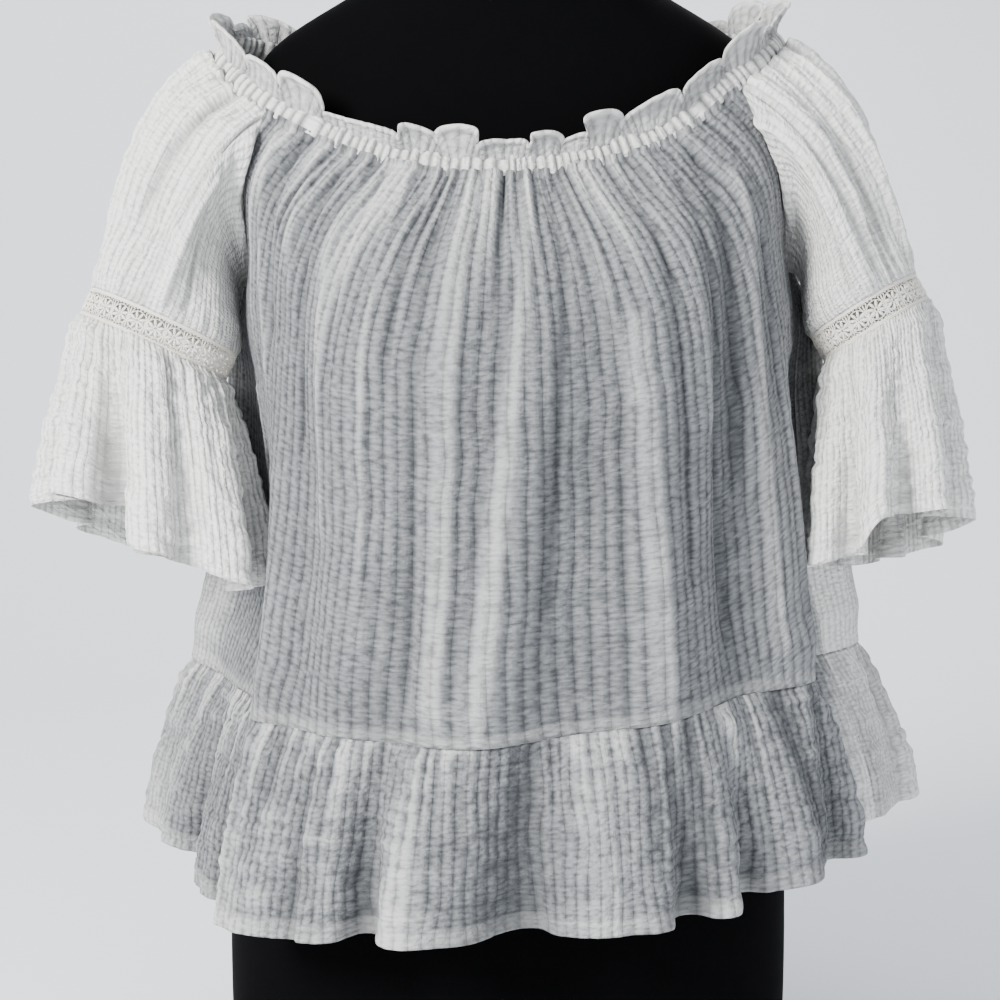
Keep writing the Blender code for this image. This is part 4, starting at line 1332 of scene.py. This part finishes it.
def edge_cords(repeats):
    """Four long cords, in pairs at the two edges, each waving a little like a plait."""
    across = np.linspace(0, LACE_REPEAT * repeats, repeats * 8 + 1)
    wave = CORD_WAVE * np.sin(across * 2 * np.pi / CORD_PITCH)
    lines = []
    for down, way in ((0.65, 1), (1.75, -1), (LACE_HIGH - 0.65, 1), (LACE_HIGH - 1.75, -1)):
        lines.append(np.stack([across, down + way * wave, np.full_like(across, CORD)], axis=1))
    return lines


# %% Lace bands as joined tubes
THREAD_SIDES = 6
THREAD_FLAT = 0.8


def tube(points, radius, out):
    """Points and quads of a thread with closed ends, its section turned to face out."""
    along = unit(np.gradient(points, axis=0))
    beside = unit(np.cross(along, out))
    lift = np.cross(beside, along)
    turns = (np.arange(THREAD_SIDES) * 2 * np.pi / THREAD_SIDES)[None, :, None]
    ring = np.cos(turns) * beside[:, None] + THREAD_FLAT * np.sin(turns) * lift[:, None]
    skin = points[:, None] + ring * radius[:, None, None]
    count = len(points)
    index = np.arange(count * THREAD_SIDES).reshape(count, THREAD_SIDES)
    after = np.roll(index, -1, axis=1)
    sides = quads(index[:-1], after[:-1], after[1:], index[1:])
    first, last = index[0], index[-1]
    ends = [first[[0, 5, 4, 3]], first[[0, 3, 2, 1]], last[[3, 4, 5, 0]], last[[1, 2, 3, 0]]]
    return skin.reshape(-1, 3), np.concatenate([sides, ends])


def add_lace(side, material):
    size, axis = cuff_values(side, "lace"), cuff_axis(side, "lace")
    middle = np.array([size["x"], size["y"], size["z"]]) * MM
    turns = np.linspace(0, 360, 721)
    ring = lace_point(side, turns, np.full_like(turns, 0.5))
    run = np.concatenate([[0], np.cumsum(np.linalg.norm(np.diff(ring, axis=0), axis=1))])
    repeats = int(round(run[-1] / MM / LACE_REPEAT))
    stretch = run[-1] / (repeats * LACE_REPEAT)
    lines = edge_cords(repeats)
    for number in range(repeats):
        for line in lace_repeat():
            moved = line.copy()
            moved[:, 0] += LACE_REPEAT * number
            lines.append(moved)
    all_points, all_faces, count = [], [], 0
    for line in lines:
        turn = np.interp(line[:, 0] * stretch % run[-1], run, turns)
        turn = np.where((line[:, 0] * stretch >= run[-1] - 1e-9) & (turn < 1), 360, turn)
        way = line[:, 1] / LACE_HIGH
        point = lace_point(side, turn, way)
        out = unit(point - middle - axis * LACE_TALL * way[:, None])
        points, faces = tube(point, line[:, 2] * MM, out)
        all_points.append(points)
        all_faces.append(faces + count)
        count += len(points)
    print("lace", side, "has", repeats, "repeats")
    points, faces = np.concatenate(all_points), np.concatenate(all_faces)
    return make_mesh(f"lace_band_{side}", points, faces, material), run[-1]


# %% [markdown]
# Lace thread is mercerised ecru cotton, a little warmer than the gauze. Its ply
# shows as a fine bump, and old folds give a faint change of colour.

# %% Lace finish
def lace_finish():
    finish = Finish("lace thread", Roughness=0.85, Sheen_Weight=0.2)
    tone = finish.noise(finish.own_place((90.0, 90.0, 90.0)), 2.0)
    ply = finish.noise(finish.own_place((1900.0, 1900.0, 1900.0)))
    tint = finish.mixed(tone, (0.80, 0.755, 0.66, 1.0), (0.90, 0.865, 0.79, 1.0))
    finish.feeds("Base Color", tint)
    finish.feeds("Normal", finish.bump(ply, 0.0004, 0.8))
    return finish.material


lace_thread = lace_finish()
lace_bands = {side: add_lace(side, lace_thread) for side in SIDES}

# %% [markdown]
# ## Dress form
# The form is a smooth limbless torso under black jersey. Its solid has flat
# facets, so a copy is merged into quads and smoothed by subdivision. Insets at
# the flat ends hold their edges crisp while the rest rounds off.

# %% Smooth copy of the form
FORM_INSETS = (3 * MM, 12 * MM, 20 * MM)


def deselect_all():
    for thing in bpy.context.selected_objects:
        thing.select_set(False)


def set_mode(mode):
    bpy.ops.object.mode_set(mode=mode)


def add_form():
    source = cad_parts["dress_form"]
    deselect_all()
    piece = source.copy()
    piece.data = source.data.copy()
    piece.name = "form_torso"
    for key in list(piece.keys()):
        del piece[key]
    piece.parent = None
    piece.hide_render = False
    bpy.context.scene.collection.objects.link(piece)
    piece.select_set(True)
    bpy.context.view_layer.objects.active = piece
    set_mode("EDIT")
    bpy.ops.mesh.select_all(action="SELECT")
    bpy.ops.mesh.remove_doubles(threshold=0.0001)
    turned = math.radians(60)
    bpy.ops.mesh.tris_convert_to_quads(face_threshold=turned, shape_threshold=turned)
    bpy.ops.mesh.dissolve_limited(angle_limit=math.radians(0.05))
    bpy.ops.mesh.select_all(action="DESELECT")
    set_mode("OBJECT")
    for face in piece.data.polygons:
        face.select = len(face.vertices) > 8
    set_mode("EDIT")
    for width in FORM_INSETS:
        bpy.ops.mesh.inset(thickness=width)
    set_mode("OBJECT")
    smooth = piece.modifiers.new("smooth", "SUBSURF")
    smooth.levels = smooth.render_levels = 2
    bpy.ops.object.modifier_apply(modifier=smooth.name)
    bpy.ops.object.shade_smooth()
    return piece


form = add_form()
print(form.name, sum(len(face.vertices) - 2 for face in form.data.polygons), "triangles")


# %% [markdown]
# Black jersey gives back almost no light, so its colour and its gloss are close
# to nothing. A fine noise is its knit and a coarse one its lint.

# %% Jersey finish
def jersey_finish():
    finish = Finish("form jersey", Roughness=0.9, Specular_IOR_Level=0.05)
    knit = finish.noise(finish.own_place((1100.0, 1100.0, 520.0)))
    lint = finish.noise(finish.own_place((60.0, 60.0, 60.0)), 3.0)
    tint = finish.mixed(lint, (0.0006, 0.0006, 0.0009, 1.0), (0.0010, 0.0010, 0.0013, 1.0))
    finish.feeds("Base Color", tint)
    finish.feeds("Normal", finish.bump(knit, 0.0003, 0.5))
    return finish.material


form.data.materials.clear()
form.data.materials.append(jersey_finish())
print("finish", form.data.materials[0].name, "on", form.name)

# %% [markdown]
# ## What each piece is
# Each piece rides on the root body, and the solid that it stands for is hidden.
# For the cloth, the flat cut that it was made from is printed beside the area
# that it lies over. Gathered strips were cut longer than they now lie. Lace is
# mostly holes; for it the smaller of its cut and the area of its threads, less a
# little ease, is also worked out, though nothing uses it.

# %% Ride and replace
LACE_EASE = 1.15
RUFFLE_CUT, SLEEVE_CUT, FLOUNCE_CUT = (0.80, 0.14), (0.36, 0.19), (0.56, 0.135)
CUTS = {
    "front": (front_panel, (0.62, 0.41)),
    "back": (back_panel, (0.62, 0.45)),
    "ruffle_front": (ruffle_front, RUFFLE_CUT),
    "ruffle_back": (ruffle_back, RUFFLE_CUT),
    "sleeve_left": (sleeves["left"], SLEEVE_CUT),
    "sleeve_right": (sleeves["right"], SLEEVE_CUT),
    "flounce_left": (flounces["left"], FLOUNCE_CUT),
    "flounce_right": (flounces["right"], FLOUNCE_CUT),
    "neck_casing": (casing, (0.98, 0.018)),
    "neck_frill": (frill, (1.15, 0.018)),
}
for side in SIDES:
    band, length = lace_bands[side]
    CUTS["lace_" + side] = (band, (round(length, 3), 0.021))


def layer_area(piece):
    """Area of one side of a thin closed wall."""
    faces = piece.data.polygons
    areas = np.zeros(len(faces))
    faces.foreach_get("area", areas)
    return areas.sum() / 2


for node, (piece, flat) in CUTS.items():
    lace = node.startswith("lace")
    cut, lies = flat[0] * flat[1], layer_area(piece)
    print(f"{node}: cut {cut:.4f} m2, lies {lies:.4f} m2, ratio {lies / cut:.2f}")
    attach(piece, "root")
    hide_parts(node)
    min(cut, lies / LACE_EASE) if lace else None
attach(form, "root")
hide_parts("dress_form")

# %% [markdown]
# ## Floor, lights and camera
# A pale sweep stands behind the blouse: a floor that curves up into a wall, so
# that no corner shows. A soft key from the left shapes the folds. A weak fill, a
# back light and a pale sky keep the shadows light, as in a daylight studio.

# %% Sweep
SWEEP_WIDE, SWEEP_DEEP, SWEEP_TALL = 7.0, 5.0, 3.2
SWEEP_CURVE, SWEEP_STEPS = 1.2, 16


def add_sweep():
    deselect_all()
    bpy.ops.mesh.primitive_plane_add(size=1, location=(0, 0, 0))
    sweep = bpy.context.object
    sweep.name = "sweep"
    set_mode("EDIT")
    bpy.ops.transform.resize(value=(SWEEP_WIDE, SWEEP_DEEP, 1))
    bpy.ops.mesh.select_all(action="DESELECT")
    set_mode("OBJECT")
    for edge in sweep.data.edges:
        edge.select = all(sweep.data.vertices[corner].co.y > 0 for corner in edge.vertices)
    set_mode("EDIT")
    bpy.ops.mesh.extrude_region_move(TRANSFORM_OT_translate={"value": (0, 0, SWEEP_TALL)})
    set_mode("OBJECT")
    for edge in sweep.data.edges:
        edge.select = all(v.co.y > 0 and v.co.z < 0.01
                          for v in (sweep.data.vertices[corner] for corner in edge.vertices))
    set_mode("EDIT")
    bpy.ops.mesh.select_mode(type="EDGE")
    bpy.ops.mesh.bevel(offset=SWEEP_CURVE, segments=SWEEP_STEPS)
    set_mode("OBJECT")
    bpy.ops.object.shade_smooth()
    return sweep


sweep = add_sweep()
paper = Finish("sweep paper", Roughness=0.95)
grain = paper.noise(paper.own_place((40.0, 40.0, 40.0)), 2.0)
paper.feeds("Base Color", paper.mixed(grain, (0.90, 0.925, 0.96, 1.0), (0.91, 0.935, 0.97, 1.0)))
sweep.data.materials.append(paper.material)
sweep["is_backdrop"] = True
print("sweep", SWEEP_WIDE, "m wide, with", len(sweep.data.polygons), "faces")

# %% Lights
LIT_PLACE = (0, 0, 0.4)
# place, size, power and tint of each square lamp
LAMPS = dict(
    key=((-1.9, -1.9, 1.8), 1.0, 222, (1.0, 0.99, 0.97)),
    fill=((1.7, -2.0, 0.9), 1.6, 24, (0.96, 0.98, 1.0)),
    back=((0.6, 1.5, 2.1), 1.4, 30, (1.0, 1.0, 1.0)),
)


def add_light(name, place, size, power, tint):
    lamp = bpy.data.lights.new(name, "AREA")
    lamp.shape, lamp.size, lamp.energy, lamp.color = "SQUARE", size, power, tint
    light = bpy.data.objects.new(name, lamp)
    bpy.context.scene.collection.objects.link(light)
    light.location = place
    look = np.array(LIT_PLACE) - np.array(place)
    turn = math.atan2(look[0], -look[1])
    light.rotation_euler = (math.acos(-look[2] / np.linalg.norm(look)), 0, math.pi + turn)


for name, lamp in LAMPS.items():
    add_light(name, *lamp)
world = bpy.data.worlds.new("studio")
world.use_nodes = True
sky = world.node_tree.nodes["Background"].inputs
sky["Color"].default_value = (0.86, 0.92, 1.0, 1)
sky["Strength"].default_value = 0.63
bpy.context.scene.world = world
print("lamps:", ", ".join(LAMPS))

# %% Camera
AIM = np.array([-0.0056, 0.0, 0.39])
DISTANCE, HEIGHT_ANGLE = 1.6, 6.0
LENS, SENSOR = 82.3, 36.0
camera_data = bpy.data.cameras.new("camera")
camera_data.lens, camera_data.sensor_width = LENS, SENSOR
camera = bpy.data.objects.new("camera", camera_data)
bpy.context.scene.collection.objects.link(camera)
tilt = math.radians(HEIGHT_ANGLE)
camera.location = AIM + DISTANCE * np.array([0, -math.cos(tilt), math.sin(tilt)])
camera.rotation_euler = (math.pi / 2 - tilt, 0, 0)
bpy.context.scene.camera = camera
print("camera", DISTANCE, "m away, looking down by", HEIGHT_ANGLE, "degrees")

# %% The size and the number of triangles
visual_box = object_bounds()
boxes = [[[float(value) for value in corner] for corner in box] for box in (cad_box, visual_box)]
print("visual box", [[round(value, 4) for value in corner] for corner in boxes[1]])
shown = bpy.context.evaluated_depsgraph_get()
total = sum(len(piece.evaluated_get(shown).data.loop_triangles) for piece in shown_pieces())
print("triangles in all", total)
